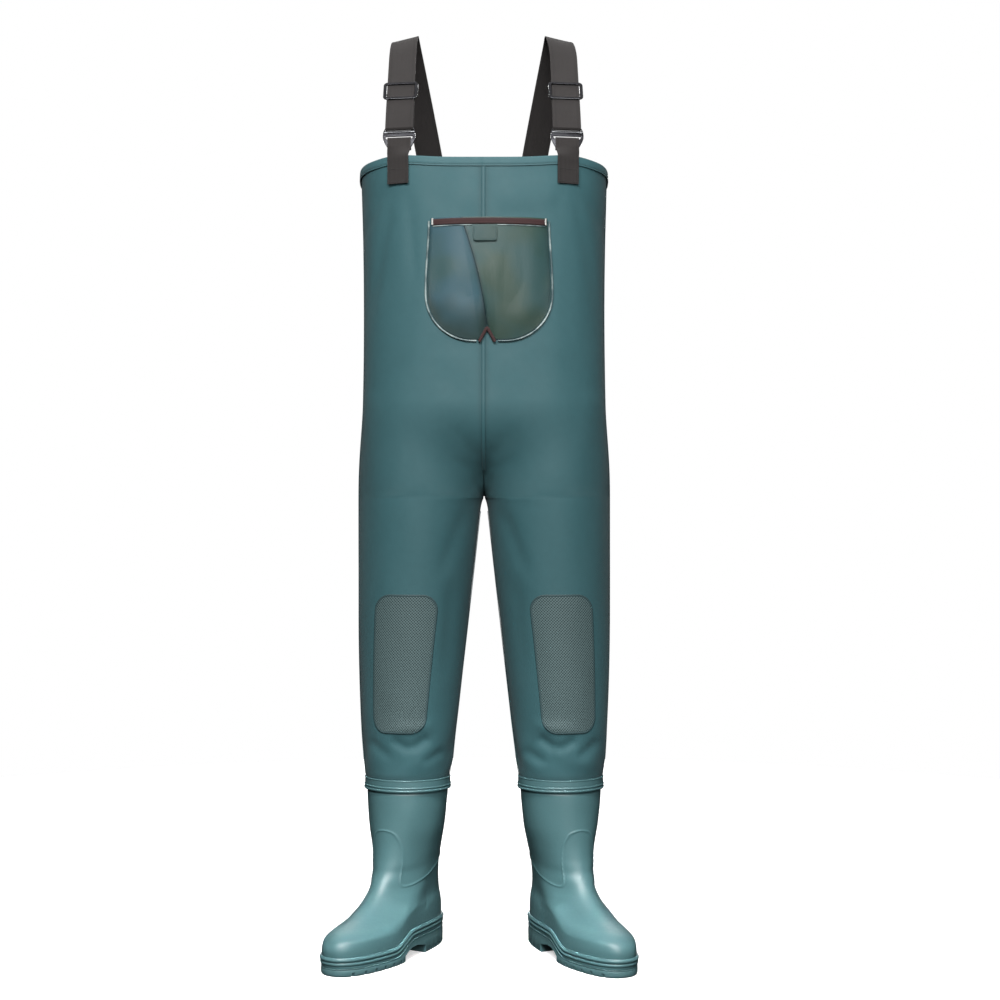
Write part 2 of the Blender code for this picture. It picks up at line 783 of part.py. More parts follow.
def boot_ring(side, z, offset=0.0, lifted=True):
    """One slice of the boot, offset outward. It starts at the toe and runs counterclockwise."""
    front, back, half_width = boot_station(z)
    foot_share = 1 - smoothstep((z - 0.085) / 0.055)
    instep_share = smoothstep((z - 0.050) / 0.020) * (1 - smoothstep((z - 0.100) / 0.050))
    middle = (front - back) / 2
    half_length = (front + back) / 2
    flat = []
    for index in range(RING_COUNT):
        angle = index / RING_COUNT * 2 * math.pi
        forward = middle + half_length * math.cos(angle)
        heel_narrowing = lerp(HEEL_NARROWING, 1.0, smoothstep((math.cos(angle) + 0.4) / 0.8))
        power = lerp(1.0, TOE_BLUNTNESS, foot_share)
        spread = math.copysign(abs(math.sin(angle)) ** power, math.sin(angle))
        instep = 1 - INSTEP_NARROWING * instep_share * smoothstep(math.cos(angle))
        across = half_width * spread * lerp(1.0, heel_narrowing, foot_share) * instep
        inward = -side * 0.005 * foot_share * smoothstep((forward - 0.03) / 0.17)
        flat.append(Vector((across + inward, -forward)))
    ring = []
    fade = 1 - smoothstep((z - 0.035) / 0.06)
    for index, point in enumerate(flat):
        along = flat[(index + 1) % RING_COUNT] - flat[index - 1]
        outward = Vector((along.y, -along.x)).normalized()
        moved = point + outward * offset
        rise = heel_rise(-point.y) * fade if lifted else 0.0
        ring.append(Vector((moved.x, moved.y, z + rise)))
    return ring


def hold_in_boot(obj, side_name):
    obj.location = (SIDES[side_name] * BOOT_X, 0.0, 0.0)
    obj.rotation_euler.z = SIDES[side_name] * BOOT_YAW[side_name]


def make_boot_shell(side_name):
    side = SIDES[side_name]
    bm = bmesh.new()
    rings = [boot_ring(side, station[0]) for station in BOOT_STATIONS]
    vertices = add_rings(bm, rings)
    add_ladder(bm, vertices[0], facing_up=False)
    shell = object_from_bmesh(f"{side_name}_boot_shell", bm, boot_rubber)
    add_solidify(shell, BOOT_WALL, -1.0)
    hold_in_boot(shell, side_name)


def make_cuff_band(side_name):
    side = SIDES[side_name]
    profile = [
        (0.0034, 0.2632),
        (0.0066, 0.2644),
        (0.0066, 0.2672),
        (0.0059, 0.2681),
        (0.0066, 0.2692),
        (0.0066, 0.2720),
        (0.0059, 0.2732),
        (0.0059, 0.2812),
        (0.0065, 0.2822),
        (0.0063, 0.2835),
        (0.0050, 0.2835),
        (0.0050, 0.2673),
        (0.0007, 0.2668),
        (0.0007, 0.2632),
    ]
    rings = [boot_ring(side, z, offset) for offset, z in profile]
    band = band_loft(f"{side_name}_cuff_band", rings, boot_rubber)
    hold_in_boot(band, side_name)


def make_rand(side_name):
    """The double-beaded strip around the foot of the boot, on top of the outsole."""
    side = SIDES[side_name]
    profile = [
        (0.0030, RAND_BOTTOM),
        (0.0030, 0.0160),
        (BEAD_OFFSET, 0.0175),
        (BEAD_OFFSET, 0.0205),
        (0.0029, 0.0222),
        (BEAD_OFFSET, 0.0240),
        (BEAD_OFFSET, 0.0275),
        (0.0026, RAND_TOP),
        (0.0005, RAND_TOP),
        (0.0005, RAND_BOTTOM),
    ]
    rings = [boot_ring(side, z, offset) for offset, z in profile]
    rand = band_loft(f"{side_name}_rand", rings, boot_rubber)
    hold_in_boot(rand, side_name)


def make_outsole(side_name):
    side = SIDES[side_name]
    ground = boot_ring(side, 0.0, 0.0022, lifted=False)
    edge = boot_ring(side, 0.0035, 0.0038, lifted=False)
    rings = [ground, edge, boot_ring(side, SOLE_TOP, 0.0038)]
    sole = closed_loft(f"{side_name}_outsole", rings, sole_rubber)

    bm = bmesh.new()
    grooves = [FORE_GROOVE + index * GROOVE_PITCH for index in range(FORE_GROOVES)]
    grooves += [HEEL_GROOVE + index * HEEL_GROOVE_PITCH for index in range(HEEL_GROOVES)]
    for forward in grooves:
        cube = bmesh.ops.create_cube(bm, size=1.0)["verts"]
        bmesh.ops.scale(bm, vec=(CUTTER_WIDTH, GROOVE_WIDTH, GROOVE_DEPTH + CUTTER_DROP), verts=cube)
        bmesh.ops.translate(bm, vec=(0.0, -forward, (GROOVE_DEPTH - CUTTER_DROP) / 2), verts=cube)
    outline = [(ARCH_PROFILE[0][0], -CUTTER_DROP), *ARCH_PROFILE, (ARCH_PROFILE[-1][0], -CUTTER_DROP)]
    ends = []
    for x in (-CUTTER_WIDTH / 2, CUTTER_WIDTH / 2):
        ends.append([bm.verts.new((x, -forward, z)) for forward, z in outline])
    bm.faces.new(ends[0])
    bm.faces.new(reversed(ends[1]))
    for index in range(len(outline)):
        after = (index + 1) % len(outline)
        bm.faces.new((ends[0][after], ends[0][index], ends[1][index], ends[1][after]))
    bmesh.ops.recalc_face_normals(bm, faces=bm.faces)
    cutter = object_from_bmesh(f"{side_name}_tread_cutter", bm, sole_rubber, smooth=False)
    cut_away(sole, cutter)
    hold_in_boot(sole, side_name)
    hold_in_boot(cutter, side_name)


def make_insole(side_name):
    side = SIDES[side_name]
    inset = -BOOT_WALL - 0.0022
    lowest = SHELL_BOTTOM + BOOT_WALL + 0.0008
    rings = [boot_ring(side, lowest, inset), boot_ring(side, lowest + 0.004, inset)]
    insole = closed_loft(f"{side_name}_insole", rings, insole_foam)
    hold_in_boot(insole, side_name)


# ---------------------------------------------------------------- braces


class BraceFrame:
    """Directions and places of one brace's straight front run."""

    def __init__(self, side_name):
        places = STRAP_PLACES[side_name]
        self.side = SIDES[side_name]
        self.places = places
        bar_y, bar_z = RING_BAR
        self.bar = Vector((places["ring"], bar_y, bar_z))
        rise = STRAP_STRAIGHT * math.cos(STRAP_TILT)
        run = STRAP_STRAIGHT * math.sin(STRAP_TILT)
        self.up = Vector((places["straight"] - places["ring"], run, rise)).normalized()
        across = Vector((math.cos(STRAP_YAW), self.side * math.sin(STRAP_YAW), 0.0))
        self.across = (across - self.up * across.dot(self.up)).normalized()
        self.out = self.across.cross(self.up)
        self.bar_lift = RING_THICKNESS / 2 + 0.0012 + STRAP_THICKNESS / 2

    def matrix(self, centre, turn=0.0):
        """Object matrix with X across the strap, Y up along it and Z out of it."""
        rotation = Matrix((self.across, self.up, self.out)).transposed().to_4x4()
        return Matrix.Translation(centre) @ rotation @ Matrix.Rotation(turn, 4, "X")


def square_to(direction, across):
    return (across - direction * across.dot(direction)).normalized()


def make_shoulder_strap(side_name):
    """From behind the ring's bar, around it, up through the slider, over the shoulder to the back."""
    brace = BraceFrame(side_name)
    places = brace.places
    lift = brace.bar_lift
    path = [brace.bar - brace.out * lift + brace.up * 0.004]
    for step in range(7):
        angle = math.pi - step / 6 * math.pi
        path.append(brace.bar + brace.out * lift * math.cos(angle) - brace.up * lift * math.sin(angle))
    start = brace.bar + brace.out * (lift + 0.0018) + brace.up * 0.030
    path.append(start)
    end = brace.bar + brace.out * (lift + 0.0018) + brace.up * STRAP_STRAIGHT
    widths = [brace.across] * len(path)

    top = Vector((places["top"], *STRAP_TOP))
    over = interpolate_bezier(end, end + brace.up * 0.036, top - Vector((0, 0.030, 0.0)), top, 8)
    back_z = RIM_Z + 0.022
    back_y = chest_depth(places["back"], RIM_Z) + GAP + HEM_PLY + 0.0032
    back = Vector((places["back"], back_y, back_z))
    leaving = Vector(((places["top"] - places["back"]) * 0.3, -0.040, 0.070))
    down = interpolate_bezier(top, top + Vector((0, 0.034, 0.0)), back + leaving, back, 9)
    foot = Vector((places["back"], back_y - 0.0012, RIM_Z + 0.003))
    tail_end = Vector((foot.x, foot.y, STRAP_END_Z))
    tail = [foot, foot.lerp(tail_end, 0.5), tail_end]
    run = list(over) + list(down)[1:] + tail

    back_turn = math.radians(12.0)
    back_across = Vector((math.cos(back_turn), -brace.side * math.sin(back_turn), 0.0))
    for index, point in enumerate(run):
        before = run[max(index - 1, 0)]
        after = run[min(index + 1, len(run) - 1)]
        direction = (after - before).normalized()
        share = smoothstep(index / (len(run) - len(tail)))
        over_top = math.sin(min(index / (2 * len(over)), 1.0) * math.pi)
        roll = Vector((0.0, 0.0, -brace.side * STRAP_ROLL * over_top))
        widths.append(square_to(direction, brace.across.lerp(back_across, share) + roll))
    ribbon(f"{side_name}_shoulder_strap", path + run, widths, STRAP_WIDTH, STRAP_THICKNESS, webbing)


def make_strap_return(side_name):
    """The ply behind the strap, between the ring and the slider."""
    brace = BraceFrame(side_name)
    start = brace.bar - brace.out * brace.bar_lift + brace.up * 0.0046
    slider_centre = brace.bar + brace.up * SLIDER_AT
    end = slider_centre - brace.out * 0.0026 - brace.up * 0.0022
    path = [start.lerp(end, step / 4) for step in range(5)]
    ribbon(f"{side_name}_strap_return", path, [brace.across] * 5, STRAP_WIDTH, STRAP_THICKNESS, webbing)


def make_strap_end(side_name):
    """The end of the strap, sewn around the slider's middle bar."""
    brace = BraceFrame(side_name)
    centre = brace.bar + brace.up * SLIDER_AT
    radius = 0.0029
    path = [centre - brace.out * radius - brace.up * 0.0018]
    for step in range(7):
        angle = math.pi - step / 6 * math.pi
        path.append(centre + brace.out * radius * math.cos(angle) + brace.up * radius * math.sin(angle))
    path.append(centre + brace.out * radius - brace.up * 0.0070)
    widths = [brace.across] * len(path)
    ribbon(f"{side_name}_strap_end", path, widths, STRAP_WIDTH, STRAP_THICKNESS, webbing)


def make_slider(side_name):
    """Tri-glide: a frame in front of the strap and a middle bar behind it."""
    brace = BraceFrame(side_name)
    width, height = SLIDER_SIZE
    window = (width - 2 * SLIDER_WALL, height - 2 * SLIDER_WALL)
    outlines = [rounded_outline(width, height, 0.0065), rounded_outline(*window, 0.003)]
    plate = flat_plate(f"{side_name}_slider", outlines, SLIDER_BAR, metal)
    plate.data.transform(Matrix.Translation((0, 0, 0.0084)))
    slider = mesh_from_curve(plate)
    slider.parent = body_origin

    bm = bmesh.new()
    half = width / 2 - 0.0021
    for side in (-1, 1):
        post = bmesh.ops.create_cube(bm, size=1.0)["verts"]
        bmesh.ops.scale(bm, vec=(0.0030, 0.0060, 0.0092), verts=post)
        bmesh.ops.translate(bm, vec=(side * half, 0.0, 0.0036), verts=post)
    posts = object_from_bmesh(f"{side_name}_slider_posts", bm, metal, smooth=False)
    bar = block(f"{side_name}_slider_bar", (width - 0.0050, 0.0028, 0.0022), metal)
    for piece in (slider, posts, bar):
        piece.matrix_local = brace.matrix(brace.bar + brace.up * SLIDER_AT)
    join_solid(slider, posts)
    join_solid(slider, bar)


def ring_outline():
    """Counterclockwise outline of the ring plate: round shoulders, widest below, narrow foot."""
    right = [(0.0160, 0.0018), (0.0222, 0.0000), (0.0250, -0.0050), (0.0262, -0.0125)]
    right += [(0.0258, -0.0185), (0.0232, -0.0250), (0.0205, -0.0300), (0.0190, -0.0329)]
    left = [(-x, y) for x, y in right]
    return left + right[::-1]


def make_ring(side_name):
    """Two-slot ring: the strap turns around its top bar and the tab holds its foot."""
    brace = BraceFrame(side_name)
    top_slot = [(-0.0225, -0.0016), (-0.0227, -0.0052), (0.0227, -0.0052), (0.0225, -0.0016)]
    low_slot = [(-0.0222, -0.0146), (-0.0205, -0.0190), (0.0205, -0.0190), (0.0222, -0.0146)]
    plate = flat_plate(f"{side_name}_ring", [ring_outline(), top_slot, low_slot], RING_THICKNESS, metal)
    plate.matrix_local = brace.matrix(brace.bar, STRAP_TILT - RING_TILT)


def make_front_tab(side_name):
    """Webbing tab: sewn to the bib, up around the ring's foot and down behind it."""
    brace = BraceFrame(side_name)
    ring = brace.matrix(brace.bar, STRAP_TILT - RING_TILT)
    hold = RING_THICKNESS / 2 + 0.0011 + TAB_THICKNESS / 2
    crest = -0.0190 - 0.0006
    path = [Vector((0, -0.0370, -hold + 0.0005)), Vector((0, -0.0300, -hold))]
    for step in range(7):
        angle = math.pi - step / 6 * math.pi
        path.append(Vector((0, crest + hold * math.sin(angle) - 0.0010, hold * math.cos(angle))))
    path.append(Vector((0, -0.0335, hold)))
    path = [ring @ point for point in path]
    widths = [brace.across] * len(path)

    x = brace.bar.x
    u = chest_u(x, 1.26)
    normal = body_normal(brace.side, FRONT, u, 2.95)
    normal = Vector((normal.x, normal.y, 0.0)).normalized()
    across = Vector((-normal.y, normal.x, 0.0))
    surface = Vector((x, -chest_depth(x, RIM_Z), 0.0))
    low_lift = GAP * 2 + HEM_PLY + TAB_THICKNESS / 2 + 0.0004
    places = ((1.2745, low_lift + 0.0004), (1.2600, low_lift), (TAB_BOTTOM_Z, low_lift - 0.0002))
    for z, lift in places:
        path.append(surface + normal * lift + Vector((0, 0, z)))
        widths.append(across)
    ribbon(f"{side_name}_front_tab", path, widths, TAB_WIDTH, TAB_THICKNESS, webbing)


# ---------------------------------------------------------------- build

clear_scene()
parts = new_collection("chest_waders")
cutters = new_collection("cutters")
body_origin = bpy.data.objects.new("body_origin", None)
body_origin.location = BODY_ORIGIN
parts.objects.link(body_origin)

fabric = make_material("coated_fabric", (72, 112, 117), 0.55)
hem_fabric = make_material("hem_fabric", (86, 126, 132), 0.55)
weld = make_material("seam_weld", (66, 104, 109), 0.45)
pocket_fabric = make_material("pocket_fabric", (76, 112, 115), 0.4)
binding = make_material("pocket_binding", (84, 58, 58), 0.6)
piping = make_material("pocket_piping", (98, 124, 124), 0.45)
thread = make_material("white_thread", (222, 222, 220), 0.7)
hook_loop = make_material("hook_and_loop", (48, 60, 62), 0.9)
knee_mesh = make_material("knee_mesh", (89, 109, 110), 0.7)
boot_rubber = make_material("boot_rubber", (94, 130, 134), 0.4)
sole_rubber = make_material("sole_rubber", (86, 118, 120), 0.5)
insole_foam = make_material("insole_foam", (58, 62, 64), 0.9)
webbing = make_material("webbing", (74, 72, 71), 0.8)
metal = make_material("buckle_metal", (92, 92, 94), 0.3, 1.0)

for face_name in ("front", "back"):
    for side_name in SIDES:
        make_panel(side_name, face_name)
make_centre_welt("front_center_seam", FRONT)
make_centre_welt("back_center_seam", BACK)
make_centre_tape()
for side_name, side in SIDES.items():
    make_leg_seam(f"{side_name}_side_seam", side, 1.0, CUFF_TOP_V, HEM_V, inside=False)
    make_leg_seam(f"{side_name}_side_seam_tape", side, 1.0, CUFF_TOP_V, HEM_V, inside=True)
    make_leg_seam(f"{side_name}_inseam", side, 0.0, CUFF_TOP_V, INSEAM_TOP_V, inside=False)
    make_leg_seam(f"{side_name}_inseam_tape", side, 0.0, CUFF_TOP_V, INSEAM_TOP_V, inside=True)
make_hem()

make_pocket_binding()
make_notch_binding()
make_pocket_tab()
for side_name in SIDES:
    make_pocket_panel(side_name)
    make_pocket_piping(side_name)
    make_bar_tack(side_name)

for side_name in SIDES:
    make_knee_patch(side_name)
    make_boot_shell(side_name)
    make_cuff_band(side_name)
    make_rand(side_name)
    make_outsole(side_name)
    make_insole(side_name)
    make_shoulder_strap(side_name)
    make_strap_return(side_name)
    make_strap_end(side_name)
    make_slider(side_name)
    make_ring(side_name)
    make_front_tab(side_name)
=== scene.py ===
"""Chest waders, dressed: fine cloth, moulded boots, woven braces, procedural materials, studio light.

Every piece stands where its CAD node stands and rides on the same body.
Shapes are made around the middle of the body and then moved to the frame.
Left and right are the viewer's, and the front of the waders faces -Y. Lengths are in metres.
"""

import math

import bmesh
import bpy
from mathutils import Matrix, Vector, noise
from mathutils.geometry import interpolate_bezier


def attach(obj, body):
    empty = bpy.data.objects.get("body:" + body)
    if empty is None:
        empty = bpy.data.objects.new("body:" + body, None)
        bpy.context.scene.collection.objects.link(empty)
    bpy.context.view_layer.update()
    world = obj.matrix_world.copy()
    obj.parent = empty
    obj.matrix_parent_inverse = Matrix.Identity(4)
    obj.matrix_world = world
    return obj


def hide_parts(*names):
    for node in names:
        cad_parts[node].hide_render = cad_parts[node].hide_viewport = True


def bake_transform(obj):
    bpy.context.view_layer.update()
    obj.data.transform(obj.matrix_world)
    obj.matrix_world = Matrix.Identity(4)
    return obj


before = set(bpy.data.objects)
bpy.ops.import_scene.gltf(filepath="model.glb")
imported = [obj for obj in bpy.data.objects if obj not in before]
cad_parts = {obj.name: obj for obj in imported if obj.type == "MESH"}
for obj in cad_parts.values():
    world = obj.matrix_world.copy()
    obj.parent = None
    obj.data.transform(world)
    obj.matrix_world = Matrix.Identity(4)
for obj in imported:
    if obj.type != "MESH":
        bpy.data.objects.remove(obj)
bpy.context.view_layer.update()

FRONT = -1
BACK = 1
SIDES = {"left": -1, "right": 1}
GAP = 0.0004
BODY_ORIGIN = (0.0065, 0.0236, 0.0)

# Body panels, as in the CAD.
CUFF_Z = 0.268
CROTCH_Z = 0.737
CUFF_TOP_V = 0.0360
INSEAM_TOP_V = 0.955
CROTCH_RISE = 0.155
RIM_Z = 1.2675
RIM_LIFT = 0.0055
RIM_DROP = 0.0085
PANEL_THICKNESS = 0.0012
SEAM_GAP = 0.004
TORSO_BOXINESS = 0.11
HALF_WIDTH_WAIST = 0.196
HALF_DEPTH_HIP = 0.145
HALF_DEPTH_CHEST = 0.155
LEG_OUTER = 0.205
LEG_TAPER = 0.1125
LEG_DEPTH_CUFF = 0.0684
LEG_DEPTH_TOP = 0.117
CUFF_PINCH = 0.0015
CENTRE_V = 1.45

# Seams and hem.
WELT_HALF_WIDTH = 0.0033
WELT_THICKNESS = 0.0008
TAPE_HALF_WIDTH = 0.006
TAPE_THICKNESS = 0.0005
HEM_HEIGHT = 0.0125
HEM_PLY = 0.0012
# The seams run a little way up under the hem.
HEM_V = 3 - (HEM_HEIGHT - 0.0030) / (RIM_Z - CROTCH_Z - CROTCH_RISE)

# Chest pocket.
POCKET_X = 0.0089
POCKET_TOP_Z = 1.1735
POCKET_HALF_WIDTH = 0.0945
POCKET_MOUTH_SHARE = 0.965
POCKET_FOOT_SHARE = 1.02
POCKET_WIDE_DROP = 0.11
POCKET_HEIGHT = 0.188
POCKET_CORNER = 0.070
POCKET_FULLNESS = 0.017
POCKET_CLEARANCE = 0.0018
POCKET_THICKNESS = 0.001
SEAM_HEAD_X = -0.045
SEAM_BOW = 0.006
NOTCH_X = -0.0030
NOTCH_HALF_WIDTH = 0.013
NOTCH_HEIGHT = 0.023
BINDING_HEIGHT = 0.0115
BINDING_DROP = 0.0018
PIPING_RADIUS = 0.0015
BINDING_THICKNESS = 0.0012
NOTCH_RADIUS = 0.0026
TACK_INSET = 0.0030
TACK_TURNS = 16
TAB_SIZE = (0.037, 0.025, 0.0012)
TAB_X = -0.0062
PAD_THICKNESS = 0.0006

# Knee patches.
PATCH_HALF_WIDTH = 0.0525
PATCH_TOP_Z = 0.584
PATCH_BOTTOM_Z = 0.3595
PATCH_CORNER = 0.028
PATCH_TURN = 0.036
PATCH_SLANT = 0.028
DIAMOND_PITCH = 0.0046
# Columns and rows, fine enough for the diamond net to be real geometry.
PATCH_MESH = (150, 330)

# Boots.
BOOT_X = 0.1254
BOOT_YAW = {"left": math.radians(31.0), "right": math.radians(26.5)}
BOOT_SEGMENTS = 192
BOOT_WALL = 0.0026
HEEL_NARROWING = 0.84
TOE_BLUNTNESS = 0.82
INSTEP_NARROWING = 0.30
HEEL_LIFT = 0.0185
SHELL_BOTTOM = 0.0126
SHELL_TOP = 0.2820
BOOT_STATIONS = (
    (0.0126, 0.2185, 0.0795, 0.0525),
    (0.0300, 0.2220, 0.0810, 0.0535),
    (0.0420, 0.2215, 0.0812, 0.0535),
    (0.0520, 0.2150, 0.0808, 0.0530),
    (0.0600, 0.2010, 0.0800, 0.0520),
    (0.0670, 0.1790, 0.0790, 0.0506),
    (0.0740, 0.1560, 0.0780, 0.0490),
    (0.0820, 0.1365, 0.0764, 0.0472),
    (0.0920, 0.1185, 0.0742, 0.0454),
    (0.1050, 0.1010, 0.0718, 0.0438),
    (0.1200, 0.0880, 0.0694, 0.0428),
    (0.1400, 0.0765, 0.0672, 0.0432),
    (0.1700, 0.0700, 0.0664, 0.0500),
    (0.2050, 0.0682, 0.0666, 0.0588),
    (0.2580, 0.0670, 0.0668, 0.0656),
    (0.2640, 0.0645, 0.0645, 0.0645),
    (0.2820, 0.0640, 0.0640, 0.0640),
)
RAND_BOTTOM = 0.0128
RAND_TOP = 0.0295
SOLE_TOP = 0.0122
# Below this height the sole is flat on the ground; above it the sole follows the lifted heel.
SOLE_EDGE = 0.0025
# Height and offset of each slice of the sole.
SOLE_SECTIONS = (
    (0.0, 0.0016),
    (0.0008, 0.0028),
    (SOLE_EDGE, 0.0036),
    (0.0080, 0.0038),
    (0.0100, 0.0032),
    (SOLE_TOP - 0.0006, 0.0038),
    (SOLE_TOP, 0.0034),
)
GROOVE_DEPTH = 0.0065
GROOVE_WIDTH = 0.0045
GROOVE_PITCH = 0.0205
FORE_GROOVE = 0.1010
FORE_GROOVES = 6
HEEL_GROOVE = -0.0620
HEEL_GROOVE_PITCH = 0.0190
HEEL_GROOVES = 4
CUTTER_WIDTH = 0.2
CUTTER_DROP = 0.01
# The hollow between the heel block and the forefoot, as (forward, height above the ground).
ARCH_PROFILE = (
    (0.015, 0.0130),
    (0.045, 0.0190),
    (0.066, 0.0190),
    (0.079, 0.0150),
    (0.088, 0.0100),
)

# Braces.
STRAP_WIDTH = 0.044
STRAP_THICKNESS = 0.0016
STRAP_TILT = math.radians(32.0)
STRAP_YAW = math.radians(5.0)
STRAP_STRAIGHT = 0.142
STRAP_ROLL = 0.26
STRAP_STAND_OFF = 0.0018
BAR_PLAY = 0.0012
STRAP_END_RADIUS = 0.0029
STRAP_TOP = (0.005, 1.4885)
STRAP_PLACES = {
    "left": {"ring": -0.1326, "straight": -0.1308, "top": -0.1284, "back": -0.0892},
    "right": {"ring": 0.1316, "straight": 0.1284, "top": 0.1204, "back": 0.0800},
}
STRAP_END_Z = 1.213
RING_BAR = (-0.1245, 1.3200)
RING_TILT = math.radians(14.0)
RING_THICKNESS = 0.003
TAB_WIDTH = 0.037
TAB_THICKNESS = 0.0016
TAB_BOTTOM_Z = 1.2300
SLIDER_AT = 0.072
SLIDER_SIZE = (0.055, 0.036)
SLIDER_WALL = 0.0044
SLIDER_BAR = 0.0025
# The rounded rib across the middle of the ring.
RIB_Y = -0.0082
RIB_RADIUS = 0.0016


def smoothstep(value):
    value = min(max(value, 0.0), 1.0)
    return value * value * (3 - 2 * value)


def lerp(start, end, share):
    return start + (end - start) * share


def bell(distance, width):
    """1 at distance 0, falling smoothly to nothing a few widths away."""
    return math.exp(-((distance / width) ** 2))


# ---------------------------------------------------------------- materials


def linear(channel):
    value = channel / 255
    if value <= 0.04045:
        return value / 12.92
    return ((value + 0.055) / 1.055) ** 2.4


def tone(red, green, blue, gain=1.0):
    """A linear colour from screen values, made brighter or darker by gain."""
    return [min(linear(c) * gain, 1.0) for c in (red, green, blue)] + [1.0]


class Graph:
    """One material with short ways to add and link its nodes."""

    def __init__(self, name):
        self.material = bpy.data.materials.new(name)
        self.material.use_nodes = True
        self.tree = self.material.node_tree
        self.shader = self.tree.nodes["Principled BSDF"]

    def add(self, kind, inputs, **settings):
        made = self.tree.nodes.new(kind)
        for key, value in settings.items():
            setattr(made, key, value)
        for key, value in inputs.items():
            self.feed(made.inputs[key], value)
        return made

    def feed(self, socket, value):
        if isinstance(value, bpy.types.NodeSocket):
            self.tree.links.new(value, socket)
        else:
            socket.default_value = value

    def set(self, **values):
        """Feeds the shader's sockets; underscores stand for spaces."""
        for key, value in values.items():
            self.feed(self.shader.inputs[key.replace("_", " ")], value)

    def math(self, operation, first, second=0.0):
        return self.add("ShaderNodeMath", {0: first, 1: second}, operation=operation).outputs[0]

    def cloth(self):
        """Metres across and along the sheet, and how much darker its colour is made, as separate sockets."""
        attribute = self.add("ShaderNodeAttribute", {}, attribute_name="cloth")
        return self.add("ShaderNodeSeparateXYZ", {0: attribute.outputs["Vector"]}).outputs

    def position(self):
        return self.add("ShaderNodeTexCoord", {}).outputs["Object"]

    def noise(self, scale, detail=3.0, roughness=0.5, stretch=(1.0, 1.0, 1.0)):
        mapping = self.add("ShaderNodeMapping", {"Vector": self.position(), "Scale": stretch})
        inputs = {
            "Vector": mapping.outputs[0],
            "Scale": scale,
            "Detail": detail,
            "Roughness": roughness,
        }
        return self.add("ShaderNodeTexNoise", inputs).outputs[0]

    def remap(self, value, low, high, out_low, out_high):
        inputs = {0: value, 1: low, 2: high, 3: out_low, 4: out_high}
        return self.add("ShaderNodeMapRange", inputs).outputs[0]

    def mix(self, share, first, second):
        inputs = {"Factor": share, "A": first, "B": second}
        mixed = self.tree.nodes.new("ShaderNodeMix")
        mixed.data_type = "RGBA"
        for socket in mixed.inputs:
            if socket.name == "Factor" and socket.type == "VALUE":
                self.feed(socket, inputs["Factor"])
            elif socket.type == "RGBA":
                self.feed(socket, inputs[socket.name])
        return next(socket for socket in mixed.outputs if socket.type == "RGBA")

    def ripple(self, coordinate, pitch):
        """A sine of a length in metres that repeats every pitch."""
        return self.math("SINE", self.math("MULTIPLY", coordinate, 2 * math.pi / pitch))

    def weave(self, across, along, pitch_across, pitch_along):
        """Plain weave from -1 to 1: threads that pass over and under each other."""
        return self.math("MULTIPLY", self.ripple(across, pitch_across), self.ripple(along, pitch_along))

    def bump(self, height, distance, strength=1.0, under=None):
        inputs = {"Height": height, "Distance": distance, "Strength": strength}
        if under is not None:
            inputs["Normal"] = under
        return self.add("ShaderNodeBump", inputs).outputs[0]

    def edge_and_shade_mask(self):
        """How convex the surface is, 0 in hollows and 1 on edges."""
        pointiness = self.add("ShaderNodeNewGeometry", {}).outputs["Pointiness"]
        return self.remap(pointiness, 0.48, 0.56, 0.0, 1.0)


def cloth_material(name, colour, pitch, roughness, weave_height, gain=1.0, contrast=0.10):
    """Coated woven fabric: thread weave, cloudy tone, and darker where the mesh says; on the body panels
    that darkening is painted shade.
    """
    graph = Graph(name)
    across, along, darkening = graph.cloth()
    weave = graph.weave(across, along, pitch, pitch)
    clouds = graph.noise(5.0, 4.0, 0.55, (1.0, 1.0, 0.5))
    mottle = graph.noise(90.0, 3.0)
    dark = tone(*colour, gain * (1 - contrast))
    light = tone(*colour, gain * (1 + contrast))
    base = graph.mix(clouds, dark, light)
    base = graph.mix(graph.remap(mottle, 0.3, 0.7, 0.0, 0.25), base, tone(*colour, gain * 0.8))
    base = graph.mix(graph.remap(weave, -1.0, 1.0, 0.16, 0.0), base, tone(*colour, gain * 0.55))
    # Darker by the mesh's darkening value: painted shade on the body panels.
    base = graph.mix(graph.math("MULTIPLY", darkening, 0.75), base, tone(*colour, gain * 0.35))
    grain = graph.bump(graph.noise(420.0, 2.0), 0.0002, 0.35)
    threads = graph.bump(weave, weave_height, 0.5, grain)
    rough = graph.remap(graph.noise(22.0, 3.0), 0.3, 0.7, roughness - 0.06, roughness + 0.06)
    graph.set(Base_Color=base, Roughness=rough, Normal=threads, Specular_IOR_Level=0.28)
    graph.set(Sheen_Weight=0.05, Sheen_Roughness=0.5)
    return graph.material


